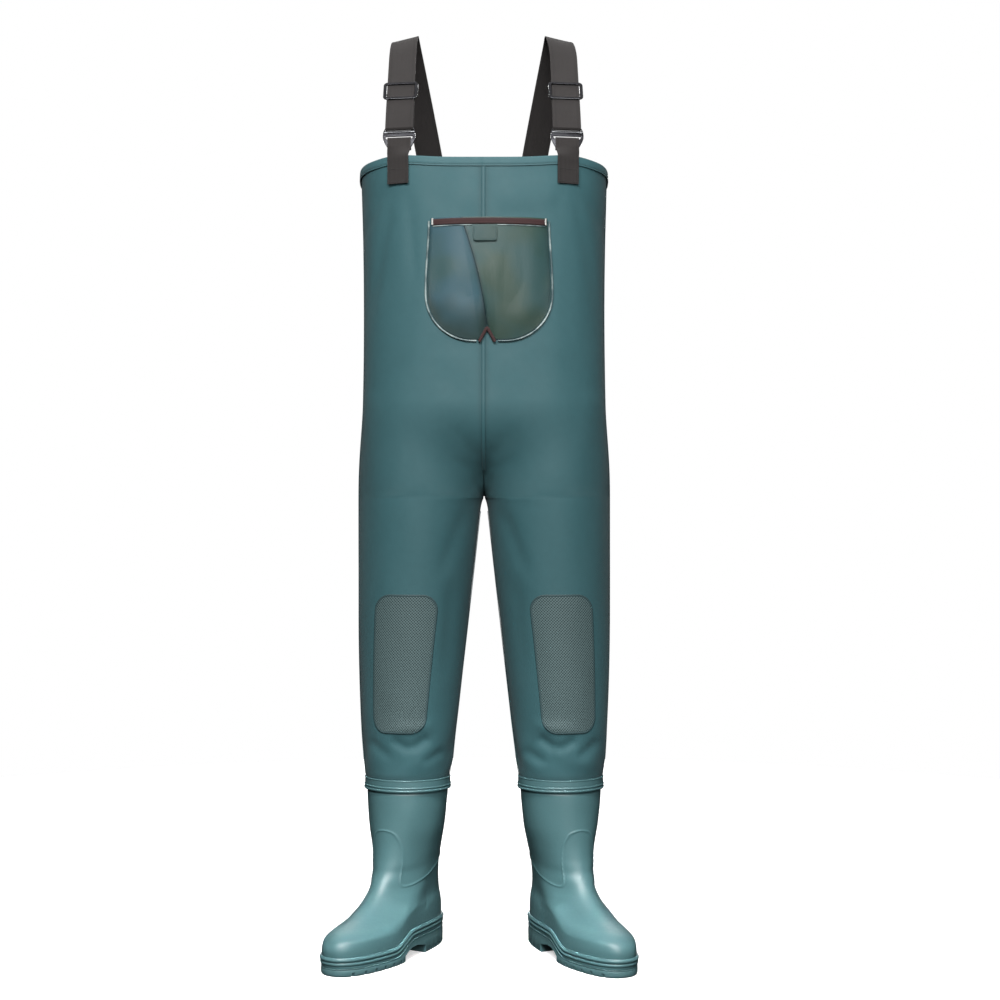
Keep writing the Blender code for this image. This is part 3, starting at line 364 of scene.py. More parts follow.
def pocket_material(name, first, second, foot_shade, gain):
    """Satin coated fabric. Its tone shifts in patches between two colours, partly its own tone and partly
    painted sheen, and it darkens towards the foot as painted shade.
    """
    graph = Graph(name)
    across, along, darkening = graph.cloth()
    weave = graph.weave(across, along, 0.0009, 0.0009)
    # Patches between the two colours: the fabric's uneven tone with painted sheen in it.
    tone_and_sheen_patches = graph.remap(graph.noise(15.0, 1.5, 0.4), 0.38, 0.62, 0.0, 1.0)
    base = graph.mix(tone_and_sheen_patches, tone(*first, gain), tone(*second, gain))
    # Painted shade, darker towards the foot of the pocket.
    foot = graph.math("ADD", along, graph.math("MULTIPLY", graph.noise(24.0, 1.0), 0.05))
    base = graph.mix(graph.remap(foot, 0.035, 0.085, foot_shade, 0.0), base, tone(46, 66, 62, gain))
    base = graph.mix(graph.remap(weave, -1.0, 1.0, 0.14, 0.0), base, tone(40, 60, 60, gain))
    base = graph.mix(graph.math("MULTIPLY", darkening, 0.6), base, tone(30, 46, 52, gain))
    threads = graph.bump(weave, 0.0001, 0.5, graph.bump(graph.noise(500.0, 2.0), 0.0002, 0.3))
    rough = graph.remap(graph.noise(30.0, 3.0), 0.3, 0.7, 0.38, 0.50)
    graph.set(Base_Color=base, Roughness=rough, Normal=threads, Specular_IOR_Level=0.35)
    graph.set(Sheen_Weight=0.05, Sheen_Roughness=0.35)
    return graph.material


def rubber_material(name, colour, roughness, grain_height, gain=1.0, specular=0.42):
    """Moulded rubber: leathery grain, cloudy tone, lighter on convex edges."""
    graph = Graph(name)
    clouds = graph.noise(14.0, 4.0, 0.6)
    pores = graph.noise(700.0, 3.0, 0.6)
    skin = graph.noise(160.0, 4.0, 0.55)
    base = graph.mix(clouds, tone(*colour, gain * 0.88), tone(*colour, gain * 1.12))
    base = graph.mix(graph.remap(pores, 0.35, 0.6, 0.22, 0.0), base, tone(*colour, gain * 0.6))
    base = graph.mix(graph.math("MULTIPLY", graph.edge_and_shade_mask(), 0.35), base, tone(*colour, gain * 1.7))
    under = graph.bump(skin, 0.0005, 0.3)
    grain = graph.bump(pores, grain_height, 0.45, under)
    rough = graph.remap(skin, 0.3, 0.7, roughness - 0.05, roughness + 0.07)
    graph.set(Base_Color=base, Roughness=rough, Normal=grain, Specular_IOR_Level=specular)
    return graph.material


def webbing_material(name, colour, gain=1.0):
    """Woven polyester webbing: fine ribs across, plaited yarns along, fuzzy sheen."""
    graph = Graph(name)
    across, along, darkening = graph.cloth()
    slant = graph.math("ADD", along, graph.math("MULTIPLY", across, 0.6))
    counter = graph.math("SUBTRACT", along, graph.math("MULTIPLY", across, 0.6))
    ribs = graph.math("MAXIMUM", graph.ripple(slant, 0.0021), graph.ripple(counter, 0.0021))
    yarns = graph.ripple(across, 0.0014)
    height = graph.math("ADD", ribs, graph.math("MULTIPLY", yarns, 0.45))
    base = graph.mix(graph.noise(30.0, 3.0), tone(*colour, gain * 0.8), tone(*colour, gain * 1.2))
    base = graph.mix(graph.remap(height, -1.0, 1.2, 0.55, 0.0), base, tone(*colour, gain * 0.35))
    base = graph.mix(graph.math("MULTIPLY", darkening, 0.5), base, tone(*colour, gain * 0.4))
    fibre = graph.bump(graph.noise(900.0, 2.0), 0.0002, 0.4)
    graph.set(Base_Color=base, Roughness=0.78, Normal=graph.bump(height, 0.00035, 0.7, fibre))
    graph.set(Specular_IOR_Level=0.25, Sheen_Weight=0.10, Sheen_Roughness=0.45)
    return graph.material


def knee_material(name, colour, gain=1.0):
    """Moulded diamond mesh: pale raised net over dark pits."""
    graph = Graph(name)
    across, along, darkening = graph.cloth()
    rising = graph.ripple(graph.math("ADD", across, along), DIAMOND_PITCH)
    falling = graph.ripple(graph.math("SUBTRACT", across, along), DIAMOND_PITCH)
    net = graph.math("MAXIMUM", rising, falling)
    base = graph.mix(graph.noise(18.0, 4.0), tone(*colour, gain * 0.9), tone(*colour, gain * 1.1))
    base = graph.mix(graph.remap(net, 0.1, 0.9, 0.95, 0.0), base, tone(36, 56, 58, gain))
    base = graph.mix(graph.math("MULTIPLY", darkening, 0.7), base, tone(50, 76, 80, gain))
    grain = graph.bump(graph.noise(800.0, 2.0), 0.0002, 0.4)
    graph.set(Base_Color=base, Roughness=0.62, Normal=grain, Specular_IOR_Level=0.35)
    return graph.material


def metal_material(name):
    """Gunmetal plate: brushed, with its edges painted pale as highlights."""
    graph = Graph(name)
    brushed = graph.noise(900.0, 2.0, 0.5, (1.0, 0.04, 0.04))
    smudge = graph.noise(60.0, 3.0)
    base = graph.mix(smudge, (0.014, 0.014, 0.016, 1.0), (0.036, 0.036, 0.039, 1.0))
    # Painted highlight: the convex edges are made pale.
    edges = graph.remap(graph.edge_and_shade_mask(), 0.55, 1.0, 0.0, 0.5)
    base = graph.mix(edges, base, (0.30, 0.31, 0.32, 1.0))
    rough = graph.remap(brushed, 0.3, 0.7, 0.26, 0.40)
    graph.set(Base_Color=base, Metallic=1.0, Roughness=rough, Normal=graph.bump(brushed, 0.0001, 0.3))
    return graph.material


def piping_material(name, highlight_tone, dull, gain):
    """Satin piping: its own dull tone, with pale patches painted in as highlights."""
    graph = Graph(name)
    # Painted highlight: pale patches over the dull tone.
    highlight_patches = graph.remap(graph.noise(26.0, 4.0, 0.65), 0.42, 0.60, 0.0, 1.0)
    base = graph.mix(highlight_patches, tone(*dull, gain), tone(*highlight_tone, gain))
    fine = graph.noise(1200.0, 2.0)
    base = graph.mix(graph.remap(fine, 0.4, 0.7, 0.25, 0.0), base, tone(*dull, gain * 0.6))
    graph.set(Base_Color=base, Roughness=0.34, Normal=graph.bump(fine, 0.0002, 0.4))
    graph.set(Specular_IOR_Level=0.5, Sheen_Weight=0.1)
    return graph.material


def fuzz_material(name, colour, gain=1.0):
    """Hook or loop tape: dense tiny bristles."""
    graph = Graph(name)
    bristle = graph.noise(1400.0, 3.0, 0.7)
    base = graph.mix(bristle, tone(*colour, gain * 0.4), tone(*colour, gain * 1.5))
    graph.set(Base_Color=base, Roughness=0.92, Normal=graph.bump(bristle, 0.0006, 0.8))
    graph.set(Specular_IOR_Level=0.15, Sheen_Weight=0.3)
    return graph.material


def thread_material(name, colour, gain=1.0):
    """Twisted sewing thread."""
    graph = Graph(name)
    twist = graph.noise(1800.0, 2.0, 0.5, (1.0, 1.0, 0.3))
    base = graph.mix(twist, tone(*colour, gain * 0.7), tone(*colour, gain * 1.15))
    graph.set(Base_Color=base, Roughness=0.7, Normal=graph.bump(twist, 0.0002, 0.5))
    graph.set(Specular_IOR_Level=0.25, Sheen_Weight=0.2)
    return graph.material


CLOTH_GAIN = 0.62
RUBBER_GAIN = 0.54
fabric = cloth_material("coated_fabric", (64, 108, 114), 0.0011, 0.60, 0.00012, CLOTH_GAIN)
lining = cloth_material("fabric_lining", (96, 118, 122), 0.0008, 0.78, 0.00015, CLOTH_GAIN, 0.06)
hem_cloth = cloth_material("hem_fabric", (70, 114, 120), 0.0011, 0.55, 0.00012, CLOTH_GAIN)
weld = cloth_material("seam_weld", (61, 103, 109), 0.0016, 0.52, 0.00006, CLOTH_GAIN)
pocket_blue = pocket_material("pocket_fabric_blue", (58, 92, 94), (60, 98, 110), 0.85, CLOTH_GAIN)
pocket_green = pocket_material("pocket_fabric_green", (59, 84, 72), (55, 90, 90), 0.25, CLOTH_GAIN)
binding = cloth_material("pocket_binding", (74, 46, 46), 0.0013, 0.62, 0.0003, CLOTH_GAIN, 0.2)
piping = piping_material("pocket_piping", (186, 204, 202), (74, 100, 104), CLOTH_GAIN)
white_thread = thread_material("white_thread", (222, 222, 218), 0.8)
seam_thread = thread_material("seam_thread", (60, 92, 96), CLOTH_GAIN)
dark_thread = thread_material("dark_thread", (52, 50, 50), CLOTH_GAIN)
hook_loop = fuzz_material("hook_and_loop", (48, 60, 62), CLOTH_GAIN)
knee_mesh = knee_material("knee_mesh", (103, 126, 127), CLOTH_GAIN)
boot_rubber = rubber_material("boot_rubber", (84, 124, 128), 0.45, 0.00016, RUBBER_GAIN, 0.45)
sole_rubber = rubber_material("sole_rubber", (80, 116, 119), 0.52, 0.00025, RUBBER_GAIN, 0.35)
insole_foam = fuzz_material("insole_foam", (62, 66, 68), CLOTH_GAIN)
webbing = webbing_material("webbing", (58, 54, 53), CLOTH_GAIN)
metal = metal_material("buckle_metal")


# ---------------------------------------------------------------- mesh tools


def link_piece(name, mesh, materials, nodes=(), body="waders", smooth_angle=40):
    """Moves a mesh from the middle of the body to the frame and makes it a piece that rides."""
    mesh.transform(Matrix.Translation(BODY_ORIGIN))
    for material in materials:
        mesh.materials.append(material)
    bm = bmesh.new()
    bm.from_mesh(mesh)
    bmesh.ops.recalc_face_normals(bm, faces=bm.faces)
    bm.to_mesh(mesh)
    bm.free()
    mesh.shade_smooth()
    mesh.set_sharp_from_angle(angle=math.radians(smooth_angle))
    obj = bpy.data.objects.new(name, mesh)
    bpy.context.scene.collection.objects.link(obj)
    if body is not None:
        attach(obj, body)
    if nodes:
        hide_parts(*nodes)
    return obj


def link_node(node, mesh, materials, body="waders", smooth_angle=40):
    """A piece that shows the CAD node of that name."""
    return link_piece(f"fine_{node}", mesh, materials, [node], body, smooth_angle)


def mesh_from(name, points, faces, cloth=None, second_material_from=None):
    """cloth holds, for each point, metres across and along the sheet and how much darker its colour is made.
    """
    mesh = bpy.data.meshes.new(name)
    mesh.from_pydata([tuple(point) for point in points], [], faces)
    if cloth is not None:
        attribute = mesh.attributes.new("cloth", "FLOAT_VECTOR", "POINT")
        attribute.data.foreach_set("vector", [value for triple in cloth for value in triple])
    if second_material_from is not None:
        first, last = second_material_from
        for index in range(first, last):
            mesh.polygons[index].material_index = 1
    return mesh


def sheet_mesh(name, place, columns, rows, size, lined=False):
    """A thin closed sheet. place(across, up), both 0 to 1, gives its outer point, inner point and how much
    darker its colour is made.
    """
    outer, inner, cloth = [], [], []
    for row in range(rows + 1):
        for column in range(columns + 1):
            across, up = column / columns, row / rows
            face_point, back_point, darkening = place(across, up)
            outer.append(face_point)
            inner.append(back_point)
            cloth.append((across * size[0], up * size[1], darkening))
    count = len(outer)
    wide = columns + 1
    faces = []
    for row in range(rows):
        for column in range(columns):
            corner = row * wide + column
            faces.append((corner, corner + 1, corner + wide + 1, corner + wide))
    fronts = len(faces)
    for face in faces[:fronts]:
        faces.append(tuple(index + count for index in reversed(face)))
    edge = list(range(columns)) + [row * wide + columns for row in range(rows)]
    edge += [rows * wide + column for column in range(columns, 0, -1)]
    edge += [row * wide for row in range(rows, 0, -1)]
    for here, after in zip(edge, edge[1:] + edge[:1]):
        faces.append((after, here, here + count, after + count))
    backs = (fronts, 2 * fronts) if lined else None
    return mesh_from(name, outer + inner, faces, cloth + cloth, backs)


def ring_faces(count, rings, closed):
    """Quads between successive rings of count points; closed joins the last ring to the first."""
    faces = []
    for index in range(rings if closed else rings - 1):
        low = index * count
        high = (index + 1) % rings * count
        for place in range(count):
            after = (place + 1) % count
            faces.append((low + place, low + after, high + after, high + place))
    return faces


def loft_mesh(name, sections, across, closed_path=False, darkening=None):
    """Closed rings joined along a path. across holds each ring point's metres across."""
    count = len(sections[0])
    points, cloth = [], []
    along = 0.0
    for index, ring in enumerate(sections):
        if index:
            along += (sections[index][0] - sections[index - 1][0]).length
        for place, point in enumerate(ring):
            points.append(point)
            cloth.append((across[place], along, darkening[place] if darkening else 0.0))
    faces = ring_faces(count, len(sections), closed_path)
    if not closed_path:
        faces.append(tuple(reversed(range(count))))
        faces.append(tuple(range(len(points) - count, len(points))))
    return mesh_from(name, points, faces, cloth)


def smooth_path(points, pieces):
    """A Catmull-Rom curve through the points, with pieces steps between neighbours."""
    path = []
    for index in range(len(points) - 1):
        before = points[max(index - 1, 0)]
        start, end = points[index], points[index + 1]
        after = points[min(index + 2, len(points) - 1)]
        for step in range(pieces):
            t = step / pieces
            path.append(
                0.5 * (2 * start + (end - before) * t
                       + (2 * before - 5 * start + 4 * end - after) * t**2
                       + (3 * start - before - 3 * end + after) * t**3)
            )
    path.append(points[-1].copy())
    return path


def tube_mesh(name, path, radius, sides=10, closed=False):
    """A round bead along a path."""
    sections = []
    normal = Vector((0.0, -1.0, 0.0))
    count = len(path)
    for index, point in enumerate(path):
        before = path[index - 1] if closed or index else path[0]
        after = path[(index + 1) % count] if closed or index < count - 1 else path[-1]
        direction = (after - before).normalized()
        normal = (normal - direction * normal.dot(direction)).normalized()
        side = direction.cross(normal)
        ring = []
        for step in range(sides):
            angle = step / sides * 2 * math.pi
            ring.append(point + (normal * math.cos(angle) + side * math.sin(angle)) * radius)
        sections.append(ring)
    across = [step / sides * 2 * math.pi * radius for step in range(sides)]
    return loft_mesh(name, sections, across, closed)


def stitch_mesh(name, run, pitch, radius=0.00035, share=0.7):
    """A line of sewn stitches. run is a dense list of (point, outward normal)."""
    points, faces = [], []
    sides = 6
    travelled, target = 0.0, pitch * 0.5
    for (here, normal), (after, _) in zip(run, run[1:]):
        length = (after - here).length
        if length < 1e-9:
            continue
        direction = (after - here) / length
        while travelled + length >= target:
            middle = here + direction * (target - travelled)
            side = direction.cross(normal).normalized()
            base = len(points)
            for reach, rise in ((-0.5, -0.6), (-0.38, 0.25), (0.0, 0.6), (0.38, 0.25), (0.5, -0.6)):
                centre = middle + direction * (reach * pitch * share) + normal * (radius * rise)
                for step in range(sides):
                    angle = step / sides * 2 * math.pi
                    points.append(centre + (normal * math.sin(angle) + side * math.cos(angle)) * radius)
            for ring in range(4):
                for step in range(sides):
                    low = base + ring * sides
                    turned = (step + 1) % sides
                    faces.append((low + step, low + turned, low + sides + turned, low + sides + step))
            faces.append(tuple(reversed(range(base, base + sides))))
            faces.append(tuple(range(base + 4 * sides, base + 5 * sides)))
            target += pitch
        travelled += length
    return mesh_from(name, points, faces)


def sew(name, run, pitch, radius, thread, body="waders"):
    """A row of stitches as a piece of its own."""
    link_piece(name, stitch_mesh(name, run, pitch, radius), [thread], body=body)


# ---------------------------------------------------------------- body surface, as in the CAD


def rim_height(u):
    pull = math.exp(-(((u - 0.42) / 0.15) ** 2))
    return RIM_Z + RIM_LIFT * pull - RIM_DROP * smoothstep((u - 0.6) / 0.4)


def torso_half_width(z):
    below = max(1.03 - z, 0.0) / 0.28
    above = max(z - 1.03, 0.0) / 0.23
    return HALF_WIDTH_WAIST + 0.0067 * below**2 + 0.0042 * above**2


def torso_half_depth(z):
    return lerp(HALF_DEPTH_HIP, HALF_DEPTH_CHEST, smoothstep((z - 0.9) / 0.35))


def torso_point(u, z):
    angle = u * math.pi / 2
    reach = 1 + TORSO_BOXINESS * math.sin(2 * angle) ** 2
    x = torso_half_width(z) * reach * math.sin(angle)
    y = torso_half_depth(z) * reach * math.cos(angle)
    return x, y


def leg_point(u, z):
    drop = max(CROTCH_Z - z, 0.0)
    inner = 0.0012 + LEG_TAPER * drop + 0.0032 * (1 - math.exp(-drop / 0.008))
    outer = LEG_OUTER - 0.0105 * (max(0.55 - z, 0.0) / 0.2755) ** 2
    pinch = CUFF_PINCH * (1 - smoothstep((z - 0.284) / 0.03))
    middle = (inner + outer) / 2
    half_width = (outer - inner) / 2 - pinch
    share = (z - CUFF_Z) / (CROTCH_Z - CUFF_Z)
    half_depth = lerp(LEG_DEPTH_CUFF, LEG_DEPTH_TOP, share) - pinch
    angle = u * math.pi
    return middle - half_width * math.cos(angle), half_depth * math.sin(angle)


def body_point(side, face, u, v):
    """Smooth outer surface. v runs cuff (0), crotch (1), top of the crotch curve (2), chest rim (3)."""
    if v <= 1:
        z = lerp(CUFF_Z, CROTCH_Z, v)
        x, y = leg_point(u, z)
        return Vector((side * x, face * y, z))
    if v >= 2:
        z = lerp(CROTCH_Z + CROTCH_RISE, rim_height(u), v - 2)
        x, y = torso_point(u, z)
        return Vector((side * x, face * y, z))
    turn = (v - 1) * math.pi / 2
    rise = 1 - math.cos(turn)
    z = CROTCH_Z + CROTCH_RISE * rise
    round_share = (1 - u) ** 4
    share = lerp(smoothstep(rise), math.sin(turn), round_share)
    leg_x, leg_y = leg_point(u, z)
    torso_x, torso_y = torso_point(u, z)
    return Vector((side * lerp(leg_x, torso_x, share), face * lerp(leg_y, torso_y, share), z))


def body_normal(side, face, u, v):
    step = 0.002
    along_u = body_point(side, face, min(u + step, 1), v) - body_point(side, face, max(u - step, 0), v)
    along_v = body_point(side, face, u, min(v + step, 3)) - body_point(side, face, u, max(v - step, 0))
    return (along_u.cross(along_v) * (-side * face)).normalized()


def chest_u(x, z):
    low, high = 0.0, 1.0
    for _ in range(24):
        middle = (low + high) / 2
        if torso_point(middle, z)[0] < abs(x):
            low = middle
        else:
            high = middle
    return low


def chest_depth(x, z):
    return torso_point(chest_u(x, z), z)[1]


# ---------------------------------------------------------------- drape


def pocket_shield(point):
    """0 where the pocket or its edge lies on the chest, 1 well away from it."""
    if point.y > 0:
        return 1.0
    beyond_x = max(abs(point.x - POCKET_X) - POCKET_HALF_WIDTH - 0.004, 0.0)
    beyond_z = max(point.z - POCKET_TOP_Z - 0.004, POCKET_TOP_Z - POCKET_HEIGHT - 0.004 - point.z, 0.0)
    return smoothstep(math.hypot(beyond_x, beyond_z) / 0.03)


def fold(point, start, end, width):
    """A long soft crease from start to end, both (x, z): 1 on its line and 0 away from it."""
    along_x, along_z = end[0] - start[0], end[1] - start[1]
    length = math.hypot(along_x, along_z)
    away_x, away_z = point.x - start[0], point.z - start[1]
    share = (away_x * along_x + away_z * along_z) / length**2
    across = (away_z * along_x - away_x * along_z) / length
    ends = smoothstep((share + 0.15) / 0.35) * smoothstep((1.15 - share) / 0.5)
    return ends * bell(across, width)


# Start, end, width and height of each soft crease on the front; x is mirrored for the other side.
FRONT_FOLDS = (
    ((0.145, 1.215), (0.185, 1.020), 0.010, -0.0022),
    ((0.118, 1.215), (0.098, 1.060), 0.011, -0.0016),
    ((0.150, 1.235), (0.198, 1.150), 0.009, -0.0016),
    ((0.012, 0.800), (0.050, 0.850), 0.010, -0.0010),
    ((0.014, 0.778), (0.052, 0.800), 0.009, -0.0008),
    ((0.030, 0.715), (0.070, 0.610), 0.012, -0.0030),
    ((0.052, 0.600), (0.062, 0.450), 0.012, -0.0030),
    ((0.175, 0.900), (0.120, 0.960), 0.014, -0.0018),
    ((0.088, 0.352), (0.118, 0.333), 0.008, -0.0048),
    ((0.118, 0.333), (0.150, 0.350), 0.008, -0.0042),
    ((0.066, 0.330), (0.100, 0.308), 0.008, -0.0036),
    ((0.185, 0.345), (0.150, 0.318), 0.009, -0.0034),
    ((0.080, 0.372), (0.150, 0.366), 0.010, 0.0024),
)
BACK_FOLDS = (
    ((0.012, 0.800), (0.120, 0.905), 0.015, -0.0045),
    ((0.018, 0.765), (0.160, 0.830), 0.013, -0.0038),
    ((0.030, 0.720), (0.150, 0.735), 0.012, -0.0030),
    ((0.170, 0.560), (0.060, 0.530), 0.012, -0.0036),
    ((0.160, 0.520), (0.055, 0.505), 0.011, -0.0032),
    ((0.170, 0.345), (0.060, 0.320), 0.010, -0.0030),
    ((0.090, 1.200), (0.070, 1.020), 0.014, -0.0022),
)


def drape(side, face, point):
    """How far the hanging cloth stands off the smooth body at a point."""
    flow = Vector((point.x * 7.0 + 3.0, point.y * 5.0 + face, point.z * 2.6))
    amount = 0.0034 * noise.noise(flow)
    ripples = Vector((point.x * 26.0, point.y * 22.0 + 7.0 * face, point.z * 9.0))
    amount += 0.0008 * noise.noise(ripples)
    mirrored = Vector((abs(point.x), point.y, point.z))
    lopsided = 0.8 + 0.4 * noise.noise(Vector((side * 4.0, point.z * 5.0, face)))
    for start, end, width, height in FRONT_FOLDS if face == FRONT else BACK_FOLDS:
        amount += height * lopsided * fold(mirrored, start, end, width)
    near_cuff = 1 - smoothstep((point.z - 0.295) / 0.11)
    turn = math.atan2(point.y, abs(point.x) - BOOT_X)
    amount += 0.0016 * near_cuff * math.sin(turn * 5.0 + side + point.z * 40.0)
    fade = smoothstep((point.z - 0.286) / 0.03) * smoothstep((RIM_Z - 0.012 - point.z) / 0.05)
    return amount * fade * pocket_shield(point)


def crotch_valley(u, v):
    """How deep the cloth is drawn in between the legs."""
    return 0.012 * bell(u, 0.09) * bell(v - 1.40, 0.24) * smoothstep((v - 1.0) / 0.40)


def dressed(side, face, u, v, lift=0.0):
    """A point of the draped cloth, lift above it, and the normal there."""
    point = body_point(side, face, u, v)
    normal = body_normal(side, face, min(max(u, 0.003), 0.997), v)
    if u < 0.02:
        normal.x *= u / 0.02 if v > 1 else 1.0
        normal.normalize()
    seam = 0.35 + 0.65 * smoothstep(min(u, 1 - u) / 0.06)
    height = drape(side, face, point) * seam - crotch_valley(u, v)
    return point + normal * (height + lift), normal


# ---------------------------------------------------------------- body pieces


def panel_v(up):
    """Rows lie closer together at the cuff and at the crotch."""
    if up < 0.08:
        return up / 0.08 * CUFF_TOP_V * 1.6
    return lerp(CUFF_TOP_V * 1.6, 3.0, (up - 0.08) / 0.92)


def make_panel(side_name, face_name, columns, rows):
    side = SIDES[side_name]
    face = FRONT if face_name == "front" else BACK

    def place(across, up):
        u = lerp(SEAM_GAP, 1 - SEAM_GAP, across)
        v = panel_v(up)
        point, normal = dressed(side, face, u, v)
        # Painted shade: darker along the seams, in the crotch and down the inner legs. The cloth is also
        # darker just above the boot.
        near_seam = bell(min(u, 1 - u), 0.022) * 0.7
        near_cuff = bell(max(point.z - 0.284, 0.0), 0.006) * 0.6
        valley = bell(v - 1.10, 0.34) * bell(u, 0.06)
        inner_leg = 0.8 * bell(u, 0.07) * smoothstep((v - 0.30) / 0.40) * (1 - smoothstep(v - 1.0))
        edge_and_shade_mask = max(near_seam, valley, inner_leg) + near_cuff
        return point, point - normal * PANEL_THICKNESS, min(edge_and_shade_mask, 1.0)

    node = f"{face_name}_{side_name}_panel"
    mesh = sheet_mesh(f"fine_{node}", place, columns, rows, (0.27, 1.03), lined=True)
    panel = link_node(node, mesh, [fabric, lining])


def weld_height(lean):
    """Cross section of a welded seam: two raised rails with a hollow between, thin at both edges."""
    rails = bell(abs(lean) - 0.68, 0.22)
    return WELT_THICKNESS * (0.35 + 0.75 * rails) * (1 - 0.75 * abs(lean) ** 8)


def make_centre_seam(face, node):
    """The double-railed weld down the middle of the front or the back."""

    def place(across, up):
        v = lerp(CENTRE_V, HEM_V, up)
        lean = (across - 0.5) * 2
        middle, normal = dressed(1, face, 0.0, v)
        edge = body_point(1, face, SEAM_GAP * 3, v)
        slope = (edge - body_point(1, face, 0.0, v)).normalized()
        slope.x *= 1 if lean > 0 else -1
        lift = GAP + 0.0018 * max(2 - v, 0.0)
        low = middle + slope * (abs(lean) * WELT_HALF_WIDTH) + normal * lift
        return low + normal * weld_height(lean), low, 0.0

    mesh = sheet_mesh(f"fine_{node}", place, 16, 180, (WELT_HALF_WIDTH * 2, 0.4))
    link_node(node, mesh, [weld])


def make_leg_seam(side_name, place_name, u, start, end, inside):
    """The weld outside, or the tape inside, where a front and a back panel meet."""
    side = SIDES[side_name]
    half_width = TAPE_HALF_WIDTH if inside else WELT_HALF_WIDTH
    outward = side if u > 0.5 else -side

    def place(across, up):
        v = lerp(start, end, up)
        lean = (across - 0.5) * 2
        point = body_point(side, FRONT, u, v)
        above = body_point(side, FRONT, u, min(v + 0.02, 3)) - body_point(side, FRONT, u, max(v - 0.02, 0))
        normal = Vector((outward, 0.0, 0.0))
        normal = (normal - above * normal.dot(above) / above.length_squared).normalized()
        point += normal * (drape(side, FRONT, point) + drape(side, BACK, point)) * 0.175
        wrap = (0.0010 if inside else 0.0001) * lean**2
        depth = -PANEL_THICKNESS - GAP - TAPE_THICKNESS if inside else GAP
        low = point + Vector((0.0, lean * half_width, 0.0)) + normal * (depth - wrap)
        height = TAPE_THICKNESS if inside else weld_height(lean)
        return low + normal * height, low, 0.0

    node = f"{side_name}_{place_name}" + ("_tape" if inside else "")
    mesh = sheet_mesh(f"fine_{node}", place, 6 if inside else 12, 200, (half_width * 2, end - start))
    link_node(node, mesh, [weld])


def make_centre_tape():
    """Sealing tape inside the body: down the front seam, through the crotch and up the back."""

    def place(across, up):
        face = FRONT if up < 0.5 else BACK
        v = lerp(1.05, HEM_V, abs(up - 0.5) * 2)
        point = body_point(1, face, 0.0, v)
        turn = min(v - 1, 1.0) * math.pi / 2
        inward = Vector((0.0, -face * math.sin(turn), math.cos(turn)))
        depth = PANEL_THICKNESS + GAP * 2 + 0.0035 * math.sin(min(v - 1, 1.0) * math.pi)
        depth += 0.0012 * smoothstep(v - 1.2) + 1.1 * crotch_valley(0.0, v)
        near = Vector(((across - 0.5) * 2 * TAPE_HALF_WIDTH, point.y, point.z)) + inward * depth
        return near, near + inward * TAPE_THICKNESS, 0.0

    mesh = sheet_mesh("fine_center_seam_tape", place, 6, 220, (TAPE_HALF_WIDTH * 2, 1.0))
    link_node("center_seam_tape", mesh, [weld])


def around_rim(steps):
    """Every (side, face, u) around the chest, counterclockwise seen from above."""
    places = []
    for side, face, downward in ((1, FRONT, False), (1, BACK, True), (-1, BACK, False), (-1, FRONT, True)):
        for step in range(steps):
            share = step / steps
            places.append((side, face, 1 - share if downward else share))
    return places


def rim_frame(side, face, u):
    """A point of the chest rim and its level outward direction."""
    point = body_point(side, face, u, 3)
    if u == 0.0:
        return point, Vector((0.0, face, 0.0))
    if u == 1.0:
        return point, Vector((side, 0.0, 0.0))
    normal = body_normal(side, face, min(max(u, 0.002), 0.998), 2.99)
    return point, Vector((normal.x, normal.y, 0.0)).normalized()


def make_hem():
    """Folded hem over the top edge of the panels, with its row of stitches."""
    outside = GAP * 2
    inside = -PANEL_THICKNESS - GAP * 2
    stitch_line = 0.0028
    profile = []
    for step in range(11):
        height = lerp(-HEM_HEIGHT, -0.0008, step / 10)
        bulge = 0.0002 * math.sin(step / 10 * math.pi)
        dent = 0.0006 * bell(height + HEM_HEIGHT - stitch_line, 0.0009)
        profile.append((outside + HEM_PLY + bulge - dent, height))
    middle = (outside + inside) / 2
    for step in range(1, 8):
        angle = step / 8 * math.pi
        reach = (outside - inside) / 2 + HEM_PLY
        profile.append((middle + reach * math.cos(angle), 0.0018 * math.sin(angle)))
    for step in range(5):
        profile.append((inside - HEM_PLY, lerp(-0.0008, -HEM_HEIGHT, step / 4)))
    profile += [(inside, -HEM_HEIGHT), (inside, GAP * 0.5), (outside, GAP * 0.5), (outside, -HEM_HEIGHT)]

    places = around_rim(64)
    sections = []
    for side, face, u in places:
        point, normal = rim_frame(side, face, u)
        sections.append([point + normal * offset + Vector((0, 0, height)) for offset, height in profile])
    across = [index * 0.0013 for index in range(len(profile))]
    darkening = [0.8 if height <= -HEM_HEIGHT + 0.0001 else 0.0 for _, height in profile]
    mesh = loft_mesh("fine_chest_hem", sections, across, closed_path=True, darkening=darkening)
    hem = link_node("chest_hem", mesh, [hem_cloth])

    run = []
    for side, face, u in places + places[:1]:
        point, normal = rim_frame(side, face, u)
        run.append((point + normal * (outside + HEM_PLY) + Vector((0, 0, stitch_line - HEM_HEIGHT)), normal))
    sew("hem_stitches", run, 0.0032, 0.00032, seam_thread)


# ---------------------------------------------------------------- chest pocket


def pocket_bottom(x):
    straight = POCKET_HALF_WIDTH - POCKET_CORNER
    beyond = max(abs(x) - straight, 0.0)
    rounding = POCKET_CORNER - math.sqrt(max(POCKET_CORNER**2 - beyond**2, 0.0))
    notch = NOTCH_HEIGHT * max(1 - abs(x - NOTCH_X) / NOTCH_HALF_WIDTH, 0.0)
    return POCKET_HEIGHT - rounding - notch


def pocket_world_x(x, drop):
    """The pocket is a little narrower at its mouth than at its foot."""
    return POCKET_X + x * lerp(POCKET_MOUTH_SHARE, POCKET_FOOT_SHARE, smoothstep(drop / POCKET_WIDE_DROP))


